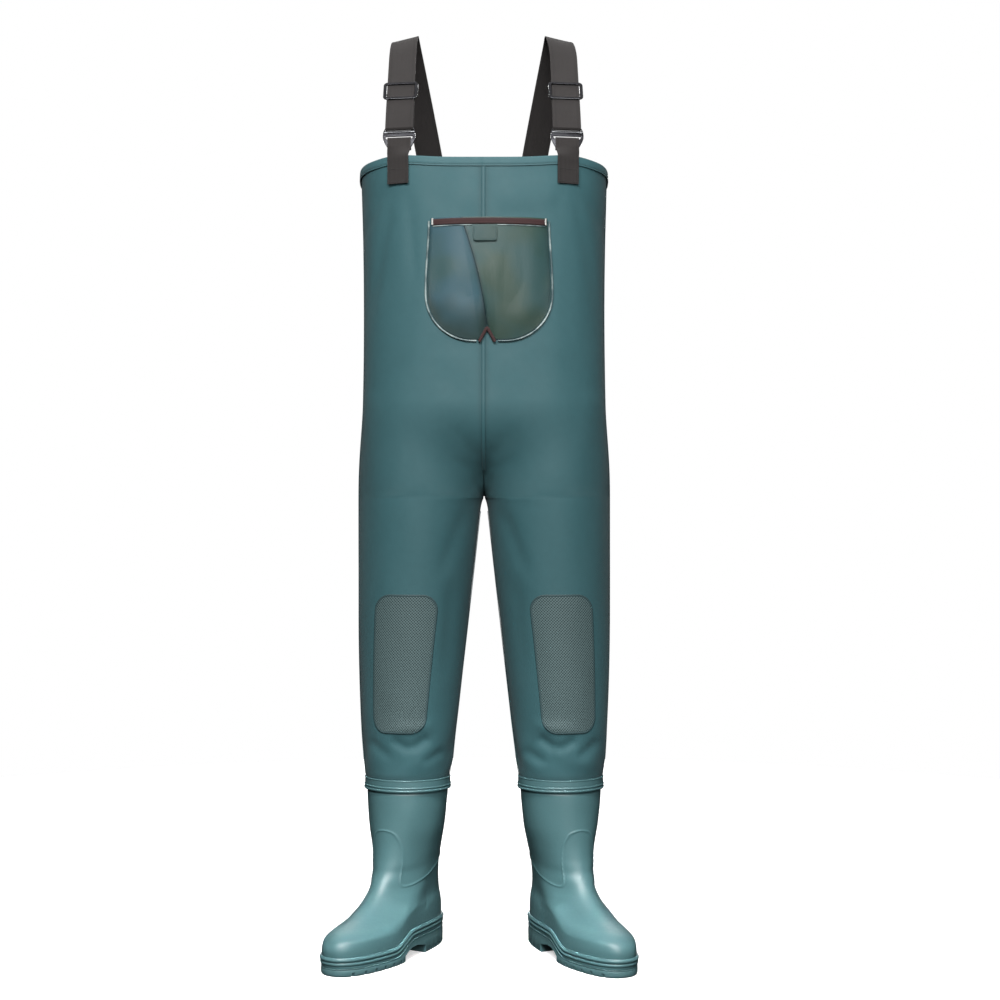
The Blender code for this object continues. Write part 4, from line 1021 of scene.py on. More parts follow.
def pocket_surface(x, drop, lift=0.0):
    z = POCKET_TOP_Z - drop
    reach = min(abs(x) / POCKET_HALF_WIDTH, 1.0)
    low = min(drop / max(pocket_bottom(x), 0.001), 1.0)
    fullness = POCKET_FULLNESS * (1 - reach**2) ** 0.8 * (1 - low**3)
    world_x = pocket_world_x(x, drop)
    return Vector((world_x, -chest_depth(world_x, z) - POCKET_CLEARANCE - fullness - lift, z))


def pocket_folds(x, drop):
    """Soft gathers hanging from the mouth and lying around the foot of the pocket."""
    low = min(drop / max(pocket_bottom(x), 0.001), 1.0)
    middle = math.sin(low * math.pi) * (1 - (x / POCKET_HALF_WIDTH) ** 4)
    gathers = 0.0010 * math.sin(x * 95.0 + drop * 14.0) * middle
    sag = 0.0022 * bell(low - 0.80, 0.13) * bell(x + 0.040, 0.035)
    sag += 0.0016 * bell(low - 0.82, 0.12) * bell(x - 0.055, 0.030)
    return gathers + sag + 0.0012 * noise.noise(Vector((x * 22.0, drop * 16.0, 2.0))) * middle


def make_pocket_panel(side_name, material):
    edge = SIDES[side_name] * POCKET_HALF_WIDTH
    seam_gap = SIDES[side_name] * GAP

    def place(across, up):
        toward = 1 - across if side_name == "left" else across
        toward = math.sin(toward * math.pi / 2)
        foot = lerp(NOTCH_X + seam_gap, edge, toward)
        head = lerp(SEAM_HEAD_X + seam_gap, edge, toward)
        share = 1 - up
        bow = SEAM_BOW * math.sin(share * math.pi) * (1 - toward)
        x = lerp(head, foot, share) + bow
        drop = share * pocket_bottom(foot)
        ridge = 0.0005 * bell(toward, 0.05)
        lift = max(pocket_folds(x, drop), -0.0004) + ridge
        darkening = bell(toward, 0.03) + 0.5 * bell(toward - 1, 0.05)
        outer = pocket_surface(x, drop, POCKET_THICKNESS + lift)
        return outer, pocket_surface(x, drop, lift * 0.5), min(darkening, 1.0)

    node = f"pocket_{side_name}_panel"
    mesh = sheet_mesh(f"fine_{node}", place, 56, 72, (0.09, 0.19))
    panel = link_node(node, mesh, [material])


def make_pocket_binding():
    """The reinforced, sewn-down edge of the pocket mouth."""
    lift = POCKET_THICKNESS + GAP * 1.5

    def place(across, up):
        x = lerp(-POCKET_HALF_WIDTH + 0.0015, POCKET_HALF_WIDTH - 0.0015, across)
        drop = lerp(BINDING_HEIGHT, BINDING_DROP, up)
        rounding = BINDING_THICKNESS * (1 - abs(up * 2 - 1) ** 5)
        darkening = 0.9 * (bell(up, 0.05) + bell(up - 0.5, 0.03))
        return pocket_surface(x, drop, lift + rounding), pocket_surface(x, drop, lift), min(darkening, 1.0)

    mesh = sheet_mesh("fine_pocket_mouth_binding", place, 120, 12, (0.186, BINDING_HEIGHT))
    link_node("pocket_mouth_binding", mesh, [binding])
    for index, drop in enumerate((BINDING_DROP + 0.0016, BINDING_HEIGHT - 0.0016)):
        run = []
        for step in range(121):
            x = lerp(-POCKET_HALF_WIDTH + 0.003, POCKET_HALF_WIDTH - 0.003, step / 120)
            run.append((pocket_surface(x, drop, lift + 0.0010), Vector((0.0, -1.0, 0.0))))
        sew(f"binding_stitches_{index}", run, 0.0028, 0.0003, dark_thread)
    run = []
    for step in range(121):
        x = lerp(-POCKET_HALF_WIDTH + 0.004, POCKET_HALF_WIDTH - 0.004, step / 120)
        if abs(x - TAB_X) > TAB_SIZE[0] / 2 + 0.001:
            run.append(pocket_surface(x, BINDING_HEIGHT + 0.0014, POCKET_THICKNESS + 0.0010))
    halves = [[p for p in run if p.x < POCKET_X + TAB_X], [p for p in run if p.x > POCKET_X + TAB_X]]
    for half, points in zip(SIDES, halves):
        mesh = tube_mesh(f"mouth_edge_{half}", points, 0.0008, 8)
        link_piece(f"mouth_edge_{half}", mesh, [piping])


def on_chest(x, drop, clear):
    z = POCKET_TOP_Z - drop
    world_x = pocket_world_x(x, drop)
    return Vector((world_x, -chest_depth(world_x, z) - clear, z))


def make_pocket_piping(side_name):
    side = SIDES[side_name]
    margin = PIPING_RADIUS + GAP * 3
    clear = POCKET_CLEARANCE + PIPING_RADIUS
    corner = POCKET_HALF_WIDTH - POCKET_CORNER
    straight = POCKET_HEIGHT - POCKET_CORNER
    outline = [(side * (POCKET_HALF_WIDTH + margin), lerp(0.004, straight, step / 20)) for step in range(20)]
    for step in range(28):
        angle = step / 27 * math.pi / 2
        radius = POCKET_CORNER + margin
        x = side * (corner + radius * math.cos(angle))
        outline.append((x, straight + radius * math.sin(angle)))
    foot = NOTCH_X + side * (NOTCH_HALF_WIDTH + 0.0035)
    for step in range(1, 9):
        outline.append((lerp(side * corner, foot, step / 8), POCKET_HEIGHT + margin))
    path = [on_chest(x, drop, clear) for x, drop in outline]
    mesh = tube_mesh(f"fine_pocket_{side_name}_piping", path, PIPING_RADIUS, 12)
    node = f"pocket_{side_name}_piping"
    link_node(node, mesh, [piping])


def make_notch_binding():
    margin = NOTCH_RADIUS + GAP * 4
    path = []
    for step in range(25):
        lean = step / 12 - 1
        x = NOTCH_X + lean * NOTCH_HALF_WIDTH * 0.93
        tip = 1 - math.sqrt(lean**2 + 0.004)
        drop = POCKET_HEIGHT + margin - NOTCH_HEIGHT * max(tip, 0.0)
        path.append(on_chest(x, drop, POCKET_CLEARANCE + NOTCH_RADIUS))
    mesh = tube_mesh("fine_pocket_notch_binding", path, NOTCH_RADIUS, 12)
    link_node("pocket_notch_binding", mesh, [binding])


def make_bar_tack(side_name):
    """Dense whipped thread at an end of the pocket mouth."""
    side = SIDES[side_name]
    x = side * (POCKET_HALF_WIDTH - TACK_INSET)
    lift = POCKET_THICKNESS + GAP * 1.5 + BINDING_THICKNESS + GAP
    steps = TACK_TURNS * 6
    path = []
    for step in range(steps + 1):
        share = step / steps
        drop = lerp(0.0008, BINDING_HEIGHT - 0.0008, share)
        swing = math.cos(share * TACK_TURNS * math.pi * 2) * 0.0012
        path.append(pocket_surface(x + swing, drop, lift + 0.0003))
    node = f"pocket_{side_name}_bar_tack"
    mesh = tube_mesh(f"fine_{node}", path, 0.00042, 6)
    link_node(node, mesh, [white_thread])


def rounded_outline(width, height, corner, steps=8):
    points = []
    for index in range(4):
        start = index * math.pi / 2
        middle_x = (width / 2 - corner) * (1 if index in (0, 3) else -1)
        middle_y = (height / 2 - corner) * (1 if index in (0, 1) else -1)
        for step in range(steps + 1):
            angle = start + step / steps * math.pi / 2
            points.append((middle_x + corner * math.cos(angle), middle_y + corner * math.sin(angle)))
    return points


def plate_mesh(name, outlines, thickness, bevel):
    """A plate with rounded edges in its own XY plane; outlines after the first are its holes."""
    curve = bpy.data.curves.new(name, "CURVE")
    curve.dimensions = "2D"
    curve.fill_mode = "BOTH"
    curve.extrude = thickness / 2 - bevel
    curve.bevel_depth = bevel
    curve.bevel_resolution = 3
    curve.offset = -bevel
    for outline in outlines:
        spline = curve.splines.new("POLY")
        spline.points.add(len(outline) - 1)
        spline.use_cyclic_u = True
        for target, (x, y) in zip(spline.points, outline):
            target.co = (x, y, 0.0, 1.0)
    holder = bpy.data.objects.new(name, curve)
    bpy.context.scene.collection.objects.link(holder)
    graph = bpy.context.evaluated_depsgraph_get()
    mesh = bpy.data.meshes.new_from_object(holder.evaluated_get(graph))
    mesh.name = name
    bpy.data.objects.remove(holder)
    bpy.data.curves.remove(curve)
    bm = bmesh.new()
    bm.from_mesh(mesh)
    bmesh.ops.remove_doubles(bm, verts=bm.verts, dist=0.00001)
    bm.to_mesh(mesh)
    bm.free()
    attribute = mesh.attributes.new("cloth", "FLOAT_VECTOR", "POINT")
    for vertex, value in zip(mesh.vertices, attribute.data):
        value.vector = (vertex.co.x, vertex.co.y, 0.0)
    return mesh


def make_pocket_tab():
    """Closing tab with its edge stitching and hook pad, and the loop pad on the pocket."""
    width, height, thickness = TAB_SIZE
    drop = BINDING_HEIGHT + 0.0012
    face = pocket_surface(TAB_X, drop, POCKET_THICKNESS)
    lower = pocket_surface(TAB_X, drop + height, POCKET_THICKNESS)
    hinge = Vector((face.x, face.y - 0.0034, face.z))
    lean = math.atan2(face.y - lower.y, height)
    turn = Matrix.Translation(hinge) @ Matrix.Rotation(math.pi / 2 - lean, 4, "X")

    mesh = plate_mesh("fine_pocket_tab", [rounded_outline(width, height, 0.004)], thickness, 0.0005)
    mesh.transform(turn @ Matrix.Translation((0, -height / 2, 0)))
    link_node("pocket_tab", mesh, [pocket_green], "pocket_tab_body")

    seam = [Vector((x, y - height / 2, thickness / 2)) for x, y in
            rounded_outline(width - 0.005, height - 0.005, 0.003)]
    seam.append(seam[0])
    outward = turn.to_3x3() @ Vector((0, 0, 1))
    run = [(turn @ point, outward) for point in smooth_path(seam, 2)]
    sew("pocket_tab_stitches", run, 0.0024, 0.00026, seam_thread, "pocket_tab_body")

    outline = rounded_outline(width * 0.8, height * 0.6, 0.002)
    hook_depth = GAP + PAD_THICKNESS / 2
    loop_depth = hook_depth + GAP + PAD_THICKNESS
    pads = (
        ("pocket_tab_hook_pad", hook_depth, "pocket_tab_body"),
        ("pocket_loop_pad", loop_depth, "waders"),
    )
    for node, depth, body in pads:
        mesh = plate_mesh(f"fine_{node}", [outline], PAD_THICKNESS, 0.0002)
        mesh.transform(turn @ Matrix.Translation((0, -height * 0.6, -thickness / 2 - depth)))
        link_node(node, mesh, [hook_loop], body)


# ---------------------------------------------------------------- knee patches


def make_knee_patch(side_name):
    """Moulded patch: a raised diamond net inside a smooth round-cornered rim."""
    side = SIDES[side_name]
    length = PATCH_TOP_Z - PATCH_BOTTOM_Z
    arc = math.pi * leg_point(0.5, (PATCH_TOP_Z + PATCH_BOTTOM_Z) / 2)[1]
    rim_width = 0.0030
    cloth = []

    def place(across, up):
        end_share = (1 - math.cos(up * math.pi)) / 2
        z = lerp(PATCH_BOTTOM_Z, PATCH_TOP_Z, lerp(up, end_share, 0.25))
        from_end = min(z - PATCH_BOTTOM_Z, PATCH_TOP_Z - z)
        inset = max(PATCH_CORNER - from_end, 0.0)
        narrowing = PATCH_CORNER - math.sqrt(max(PATCH_CORNER**2 - inset**2, 0.0))
        half_width = PATCH_HALF_WIDTH - narrowing
        local_x = (across - 0.5) * 2 * half_width
        v = (z - CUFF_Z) / (CROTCH_Z - CUFF_Z)
        slant = PATCH_SLANT * (PATCH_TOP_Z - z) / length
        u = 0.5 + PATCH_TURN + slant + local_x / arc
        if inset > 0:
            corner_x = max(abs(local_x) - (PATCH_HALF_WIDTH - PATCH_CORNER), 0.0)
            to_edge = PATCH_CORNER - math.hypot(corner_x, inset)
        else:
            to_edge = half_width - abs(local_x)
        net = max(math.sin((local_x + z) * 2 * math.pi / DIAMOND_PITCH),
                  math.sin((local_x - z) * 2 * math.pi / DIAMOND_PITCH))
        inside = smoothstep((to_edge - rim_width) / 0.0014)
        rim = bell(to_edge - rim_width * 0.5, rim_width * 0.45)
        height = 0.0004 + 0.0006 * rim + inside * 0.00050 * max(net, -0.2)
        point, normal = dressed(side, FRONT, u, v, GAP)
        cloth.append((local_x, z, 1.0 - inside))
        return point + normal * (GAP * 0.5 + height), point, 1.0 - inside

    node = f"{side_name}_knee_patch"
    mesh = sheet_mesh(f"fine_{node}", place, *PATCH_MESH, (PATCH_HALF_WIDTH * 2, length))
    values = [value for triple in cloth + cloth for value in triple]
    mesh.attributes["cloth"].data.foreach_set("vector", values)
    patch = link_node(node, mesh, [knee_mesh], smooth_angle=80)


# ---------------------------------------------------------------- boots


def boot_station(z):
    """Reach in front, reach behind and half width at a height, on a smooth curve through the stations."""
    stations = BOOT_STATIONS
    z = min(max(z, stations[0][0]), stations[-1][0])
    index = 0
    while index < len(stations) - 2 and z > stations[index + 1][0]:
        index += 1
    low, high = stations[index], stations[index + 1]
    span = high[0] - low[0]
    t = (z - low[0]) / span
    values = []
    for part in (1, 2, 3):
        def slope(at):
            before = stations[max(at - 1, 0)]
            after = stations[min(at + 1, len(stations) - 1)]
            return (after[part] - before[part]) / (after[0] - before[0])
        values.append(
            low[part] * (2 * t**3 - 3 * t**2 + 1) + high[part] * (3 * t**2 - 2 * t**3)
            + slope(index) * span * (t**3 - 2 * t**2 + t) + slope(index + 1) * span * (t**3 - t**2)
        )
    return values


def heel_rise(forward):
    return HEEL_LIFT * (1 - smoothstep((forward - 0.055) / 0.065))


def boot_ring(side, z, offset=0.0, lifted=True, relief=None):
    """One slice of the boot, offset outward. It starts at the toe and runs counterclockwise."""
    front, back, half_width = boot_station(z)
    foot_share = 1 - smoothstep((z - 0.085) / 0.055)
    instep_share = smoothstep((z - 0.050) / 0.020) * (1 - smoothstep((z - 0.100) / 0.050))
    middle = (front - back) / 2
    half_length = (front + back) / 2
    flat = []
    for index in range(BOOT_SEGMENTS):
        angle = index / BOOT_SEGMENTS * 2 * math.pi
        forward = middle + half_length * math.cos(angle)
        heel_narrowing = lerp(HEEL_NARROWING, 1.0, smoothstep((math.cos(angle) + 0.4) / 0.8))
        power = lerp(1.0, TOE_BLUNTNESS, foot_share)
        spread = math.copysign(abs(math.sin(angle)) ** power, math.sin(angle))
        instep = 1 - INSTEP_NARROWING * instep_share * smoothstep(math.cos(angle))
        across = half_width * spread * lerp(1.0, heel_narrowing, foot_share) * instep
        inward = -side * 0.005 * foot_share * smoothstep((forward - 0.03) / 0.17)
        flat.append(Vector((across + inward, -forward)))
    ring = []
    fade = 1 - smoothstep((z - 0.035) / 0.06)
    for index, point in enumerate(flat):
        along = flat[(index + 1) % BOOT_SEGMENTS] - flat[index - 1]
        outward = Vector((along.y, -along.x)).normalized()
        extra = relief(index / BOOT_SEGMENTS * 2 * math.pi, z) if relief else 0.0
        moved = point + outward * (offset + extra)
        rise = heel_rise(-point.y) * fade if lifted else 0.0
        ring.append(Vector((moved.x, moved.y, z + rise)))
    return ring


def boot_place(side_name):
    side = SIDES[side_name]
    turn = Matrix.Rotation(side * BOOT_YAW[side_name], 4, "Z")
    return Matrix.Translation((side * BOOT_X, 0.0, 0.0)) @ turn


# The moulded line over one half of the upper, as (angle from the toe, height).
BOOT_LINE_HALF = (
    (0.00, 0.2022),
    (0.25, 0.1990),
    (0.42, 0.1900),
    (0.59, 0.1720),
    (0.70, 0.1460),
    (0.79, 0.1250),
    (0.88, 0.1160),
    (0.98, 0.1132),
    (1.12, 0.1135),
    (1.28, 0.1165),
    (1.69, 0.1270),
    (2.10, 0.1430),
    (2.60, 0.1600),
    (3.14, 0.1680),
)
LINE_HEIGHT = 0.0011
LINE_WIDTH = 0.0012
LINE_RADIUS = 0.060
HEEL_CREASE = ((1.67, 0.105), (2.03, 0.050))
BOOT_LINE = [(p.x, p.y) for p in smooth_path([Vector((a, z, 0.0)) for a, z in BOOT_LINE_HALF], 6)]


def distance_to_line(angle, z, line):
    """Metres along the boot's skin from a place on it to a line of (angle, height) points."""
    nearest = 1.0
    for (start_angle, start_z), (end_angle, end_z) in zip(line, line[1:]):
        if abs(start_angle - angle) > 0.5 or abs(start_z - z) > 0.06:
            continue
        line_x, line_z = (end_angle - start_angle) * LINE_RADIUS, end_z - start_z
        away_x, away_z = (angle - start_angle) * LINE_RADIUS, z - start_z
        share = (away_x * line_x + away_z * line_z) / (line_x**2 + line_z**2)
        share = min(max(share, 0.0), 1.0)
        nearest = min(nearest, math.hypot(away_x - line_x * share, away_z - line_z * share))
    return nearest


def boot_relief(angle, z):
    """Moulded line, heel crease, soft creases over the ankle and small unevenness of the upper."""
    turned = min(angle, 2 * math.pi - angle)
    amount = 0.0
    if 0.10 < z < 0.215:
        amount += LINE_HEIGHT * bell(distance_to_line(turned, z, BOOT_LINE), LINE_WIDTH)
    if 0.04 < z < 0.115:
        (top_angle, top_z), (foot_angle, foot_z) = HEEL_CREASE
        crease_angle = lerp(foot_angle, top_angle, (z - foot_z) / (top_z - foot_z))
        ends = smoothstep((z - foot_z) / 0.015) * smoothstep((top_z - z) / 0.015)
        amount -= 0.0006 * ends * bell((turned - crease_angle) * LINE_RADIUS, 0.0018)
    crease = math.sin(z * 210.0 + 1.5 * math.cos(angle)) * bell(z - 0.128, 0.018) * bell(turned, 0.9)
    amount += 0.0006 * crease
    flow = Vector((math.cos(angle) * 1.6, math.sin(angle) * 1.6, z * 14.0))
    amount += 0.0012 * noise.noise(flow) * smoothstep((z - 0.05) / 0.03) * smoothstep((0.255 - z) / 0.02)
    return amount


def add_ladder(faces, first, count, facing_up):
    """Closes a ring of points that starts at first and is symmetric about it with straight rungs."""
    rungs = [(0, 1, count - 1)]
    for index in range(1, count // 2 - 1):
        rungs.append((index, index + 1, count - index - 1, count - index))
    rungs.append((count // 2 - 1, count // 2, count // 2 + 1))
    for rung in rungs:
        rung = rung if facing_up else tuple(reversed(rung))
        faces.append(tuple(first + index for index in rung))


def ringed_mesh(name, rings, closed=False):
    """Boot slices joined into a solid; closed joins the last slice to the first."""
    count = len(rings[0])
    points = [point for ring in rings for point in ring]
    faces = ring_faces(count, len(rings), closed)
    if not closed:
        add_ladder(faces, 0, count, False)
        add_ladder(faces, len(points) - count, count, True)
    return mesh_from(name, points, faces)


def link_boot_piece(side_name, part, rings, material, closed=False):
    node = f"{side_name}_{part}"
    mesh = ringed_mesh(f"fine_{node}", rings, closed)
    mesh.transform(boot_place(side_name))
    link_node(node, mesh, [material])


def make_boot_shell(side_name):
    side = SIDES[side_name]
    heights = [lerp(SHELL_BOTTOM, SHELL_TOP, step / 208) for step in range(209)]
    outer = [boot_ring(side, z, relief=boot_relief) for z in heights]
    floor = SHELL_BOTTOM + BOOT_WALL
    inner = [boot_ring(side, max(z, floor), -BOOT_WALL) for z in reversed(heights[::8])]
    link_boot_piece(side_name, "boot_shell", outer + inner, boot_rubber)


def bead(low, high, base, rise, steps):
    """A rounded rib as (offset, height) pairs; it stands rise above base between two heights."""
    shares = [step / steps for step in range(steps + 1)]
    return [(base + rise * math.sin(share * math.pi) ** 0.8, lerp(low, high, share)) for share in shares]


def link_band(side_name, part, profile):
    """A strip around the boot from its closed section of (offset, height) pairs."""
    rings = [boot_ring(SIDES[side_name], z, offset) for offset, z in profile]
    link_boot_piece(side_name, part, rings, boot_rubber, closed=True)


def make_cuff_band(side_name):
    """Moulded band where the boot takes the leg: two ribs below and a thin lip on top."""
    profile = [(0.0034, 0.2631), (0.0056, 0.2636)]
    for low, high, rise in ((0.2641, 0.2676, 0.0011), (0.2688, 0.2723, 0.0011), (0.2812, 0.2830, 0.0007)):
        profile += bead(low, high, 0.0058, rise, 6)
    profile += [(0.0050, 0.2835), (0.0050, 0.2673), (0.0007, 0.2668), (0.0007, 0.2631)]
    link_band(side_name, "cuff_band", profile)


def make_rand(side_name):
    """Double-beaded strip around the foot of the boot."""
    profile = [(0.0028, RAND_BOTTOM), (0.0030, 0.0150)]
    for low, high in ((0.0162, 0.0218), (0.0226, 0.0284)):
        profile += bead(low, high, 0.0028, 0.0013, 8)
    profile += [(0.0020, RAND_TOP), (0.0005, RAND_TOP), (0.0005, RAND_BOTTOM)]
    link_band(side_name, "rand", profile)


def make_outsole(side_name):
    """Lugged sole with a heel block and an arch, cut by its tread grooves."""
    side = SIDES[side_name]
    rings = [boot_ring(side, z, offset, lifted=z > SOLE_EDGE) for z, offset in SOLE_SECTIONS]
    for ring in rings[3:5]:
        for point in ring:
            top = SOLE_TOP + heel_rise(-point.y)
            point.z = lerp(SOLE_EDGE, top, (point.z - heel_rise(-point.y)) / SOLE_TOP)
    solid = bpy.data.objects.new("sole_blank", ringed_mesh("sole_blank", rings))
    bm = bmesh.new()
    grooves = [FORE_GROOVE + index * GROOVE_PITCH for index in range(FORE_GROOVES)]
    grooves += [HEEL_GROOVE + index * HEEL_GROOVE_PITCH for index in range(HEEL_GROOVES)]
    for forward in grooves:
        cube = bmesh.ops.create_cube(bm, size=1.0)["verts"]
        bmesh.ops.scale(bm, vec=(CUTTER_WIDTH, GROOVE_WIDTH, GROOVE_DEPTH + CUTTER_DROP), verts=cube)
        bmesh.ops.translate(bm, vec=(0.0, -forward, (GROOVE_DEPTH - CUTTER_DROP) / 2), verts=cube)
    outline = [(ARCH_PROFILE[0][0], -CUTTER_DROP), *ARCH_PROFILE, (ARCH_PROFILE[-1][0], -CUTTER_DROP)]
    ends = []
    for x in (-CUTTER_WIDTH / 2, CUTTER_WIDTH / 2):
        ends.append([bm.verts.new((x, -forward, z)) for forward, z in outline])
    bm.faces.new(ends[0])
    bm.faces.new(reversed(ends[1]))
    for index in range(len(outline)):
        after = (index + 1) % len(outline)
        bm.faces.new((ends[0][after], ends[0][index], ends[1][index], ends[1][after]))
    bmesh.ops.recalc_face_normals(bm, faces=bm.faces)
    cutter_mesh = bpy.data.meshes.new("tread_cutter")
    bm.to_mesh(cutter_mesh)
    bm.free()
    cutter = bpy.data.objects.new("tread_cutter", cutter_mesh)
    for obj in (solid, cutter):
        bpy.context.scene.collection.objects.link(obj)
    boolean = solid.modifiers.new("cut", "BOOLEAN")
    boolean.operation = "DIFFERENCE"
    boolean.object = cutter
    graph = bpy.context.evaluated_depsgraph_get()
    node = f"{side_name}_outsole"
    mesh = bpy.data.meshes.new_from_object(solid.evaluated_get(graph))
    mesh.name = f"fine_{node}"
    bpy.data.objects.remove(solid)
    bpy.data.objects.remove(cutter)
    mesh.transform(boot_place(side_name))
    link_node(node, mesh, [sole_rubber], smooth_angle=35)


def make_insole(side_name):
    side = SIDES[side_name]
    inset = -BOOT_WALL - 0.0022
    lowest = SHELL_BOTTOM + BOOT_WALL + 0.0008
    rings = [boot_ring(side, lowest + rise, inset - edge)
             for rise, edge in ((0.0, 0.0004), (0.0012, 0.0), (0.0032, 0.0), (0.0040, 0.0008))]
    link_boot_piece(side_name, "insole", rings, insole_foam)


# ---------------------------------------------------------------- braces


class BraceFrame:
    """Directions and places of one brace's straight front run, as in the CAD."""

    def __init__(self, side_name):
        places = STRAP_PLACES[side_name]
        self.side = SIDES[side_name]
        self.places = places
        bar_y, bar_z = RING_BAR
        self.bar = Vector((places["ring"], bar_y, bar_z))
        rise = STRAP_STRAIGHT * math.cos(STRAP_TILT)
        run = STRAP_STRAIGHT * math.sin(STRAP_TILT)
        self.up = Vector((places["straight"] - places["ring"], run, rise)).normalized()
        across = Vector((math.cos(STRAP_YAW), self.side * math.sin(STRAP_YAW), 0.0))
        self.across = (across - self.up * across.dot(self.up)).normalized()
        self.out = self.across.cross(self.up)
        self.bar_lift = RING_THICKNESS / 2 + BAR_PLAY + STRAP_THICKNESS / 2

    def matrix(self, centre, turn=0.0):
        """X across the strap, Y up along it and Z out of it."""
        rotation = Matrix((self.across, self.up, self.out)).transposed().to_4x4()
        return Matrix.Translation(centre) @ rotation @ Matrix.Rotation(turn, 4, "X")

    def around(self, centre, radius, steps, rise):
        """Half a turn from behind a bar to its front, over it (rise 1) or under it (rise -1)."""
        angles = [math.pi - step / steps * math.pi for step in range(steps + 1)]
        return [centre + self.out * radius * math.cos(angle) + self.up * radius * rise * math.sin(angle)
                for angle in angles]


def square_to(direction, across):
    return (across - direction * across.dot(direction)).normalized()


def webbing_profile(width, thickness):
    """Cross section as (across, height) pairs: a flat band with thicker rounded selvedges."""
    half = width / 2
    top = []
    for step in range(23):
        x = lerp(-half + 0.0006, half - 0.0006, step / 22)
        selvedge = 0.00022 * bell(abs(x) - (half - 0.0016), 0.0010)
        groove = -0.00022 * bell(abs(x) - (half - 0.0040), 0.0006)
        top.append((x, thickness / 2 - 0.0001 + selvedge + groove))
    bottom = [(x, -height) for x, height in reversed(top)]
    return top + [(half, thickness * 0.22), (half, -thickness * 0.22)] + bottom + [
        (-half, -thickness * 0.22), (-half, thickness * 0.22)]


def make_webbing(name, path, widths, width, thickness, pieces, node=None, body="waders"):
    """Woven band along a path; widths[k] is its across direction at point k of the path."""
    smooth = smooth_path(path, pieces)
    profile = webbing_profile(width, thickness)
    sections = []
    for index, point in enumerate(smooth):
        share = index / pieces
        low = min(int(share), len(widths) - 2)
        across = widths[low].lerp(widths[low + 1], share - low)
        before = smooth[max(index - 1, 0)]
        after = smooth[min(index + 1, len(smooth) - 1)]
        direction = (after - before).normalized()
        across = square_to(direction, across)
        out = across.cross(direction)
        ripple = 0.00025 * noise.noise(Vector((point.z * 30.0, point.x * 9.0, 5.0)))
        sections.append([point + across * x + out * (height + ripple) for x, height in profile])
    across_values = [x for x, _ in profile]
    half = width / 2
    darkening = [bell(abs(x) - (half - 0.0042), 0.0007) for x, _ in profile]
    mesh = loft_mesh(name, sections, across_values, darkening=darkening)
    return link_piece(name, mesh, [webbing], [node] if node else (), body, smooth_angle=60)


def strap_run(brace):
    """The strap's path from the straight run over the shoulder to the back hem, with its directions."""
    places = brace.places
    end = brace.bar + brace.out * (brace.bar_lift + STRAP_STAND_OFF) + brace.up * STRAP_STRAIGHT
    top = Vector((places["top"], *STRAP_TOP))
    over = interpolate_bezier(end, end + brace.up * 0.036, top - Vector((0, 0.030, 0.0)), top, 8)
    back_y = chest_depth(places["back"], RIM_Z) + GAP + HEM_PLY + 0.0032
    back = Vector((places["back"], back_y, RIM_Z + 0.022))
    leaving = Vector(((places["top"] - places["back"]) * 0.3, -0.040, 0.070))
    down = interpolate_bezier(top, top + Vector((0, 0.034, 0.0)), back + leaving, back, 9)
    foot = Vector((places["back"], back_y - 0.0012, RIM_Z + 0.003))
    tail_end = Vector((foot.x, foot.y, STRAP_END_Z))
    tail = [foot, foot.lerp(tail_end, 0.5), tail_end]
    run = list(over) + list(down)[1:] + tail
    back_turn = math.radians(12.0)
    back_across = Vector((math.cos(back_turn), -brace.side * math.sin(back_turn), 0.0))
    widths = []
    for index in range(len(run)):
        direction = (run[min(index + 1, len(run) - 1)] - run[max(index - 1, 0)]).normalized()
        share = smoothstep(index / (len(run) - len(tail)))
        over_top = math.sin(min(index / (2 * len(over)), 1.0) * math.pi)
        roll = Vector((0.0, 0.0, -brace.side * STRAP_ROLL * over_top))
        widths.append(square_to(direction, brace.across.lerp(back_across, share) + roll))
    return run, widths


def make_shoulder_strap(side_name):
    brace = BraceFrame(side_name)
    lift = brace.bar_lift
    path = [brace.bar - brace.out * lift + brace.up * 0.004]
    path += brace.around(brace.bar, lift, 6, -1)
    for reach in (0.030, 0.065, 0.100):
        path.append(brace.bar + brace.out * (lift + STRAP_STAND_OFF) + brace.up * reach)
    run, run_widths = strap_run(brace)
    widths = [brace.across] * len(path) + run_widths
    path += run
    node = f"{side_name}_shoulder_strap"
    strap = make_webbing(f"fine_{node}", path, widths, STRAP_WIDTH, STRAP_THICKNESS, 7, node)

    outward = Vector((0.0, 1.0, 0.0))
    for index, z in enumerate((STRAP_END_Z + 0.006, RIM_Z - 0.016)):
        sewn = []
        for step in range(21):
            reach = run_widths[-1] * lerp(-0.019, 0.019, step / 20)
            place = run[-1] + reach + outward * (STRAP_THICKNESS / 2 + 0.0001)
            sewn.append((Vector((place.x, place.y, z)), outward))
        sew(f"{side_name}_strap_stitches_{index}", sewn, 0.0028, 0.0003, dark_thread)


def make_strap_return(side_name):
    """The ply behind the strap, from the ring to the slider."""
    brace = BraceFrame(side_name)
    start = brace.bar - brace.out * brace.bar_lift + brace.up * 0.0046
    end = brace.bar + brace.up * SLIDER_AT - brace.out * 0.0026 - brace.up * 0.0022
    path = [start.lerp(end, step / 10) for step in range(11)]
    node = f"{side_name}_strap_return"
    widths = [brace.across] * len(path)
    piece = make_webbing(f"fine_{node}", path, widths, STRAP_WIDTH, STRAP_THICKNESS, 2, node, None)
    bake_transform(piece)


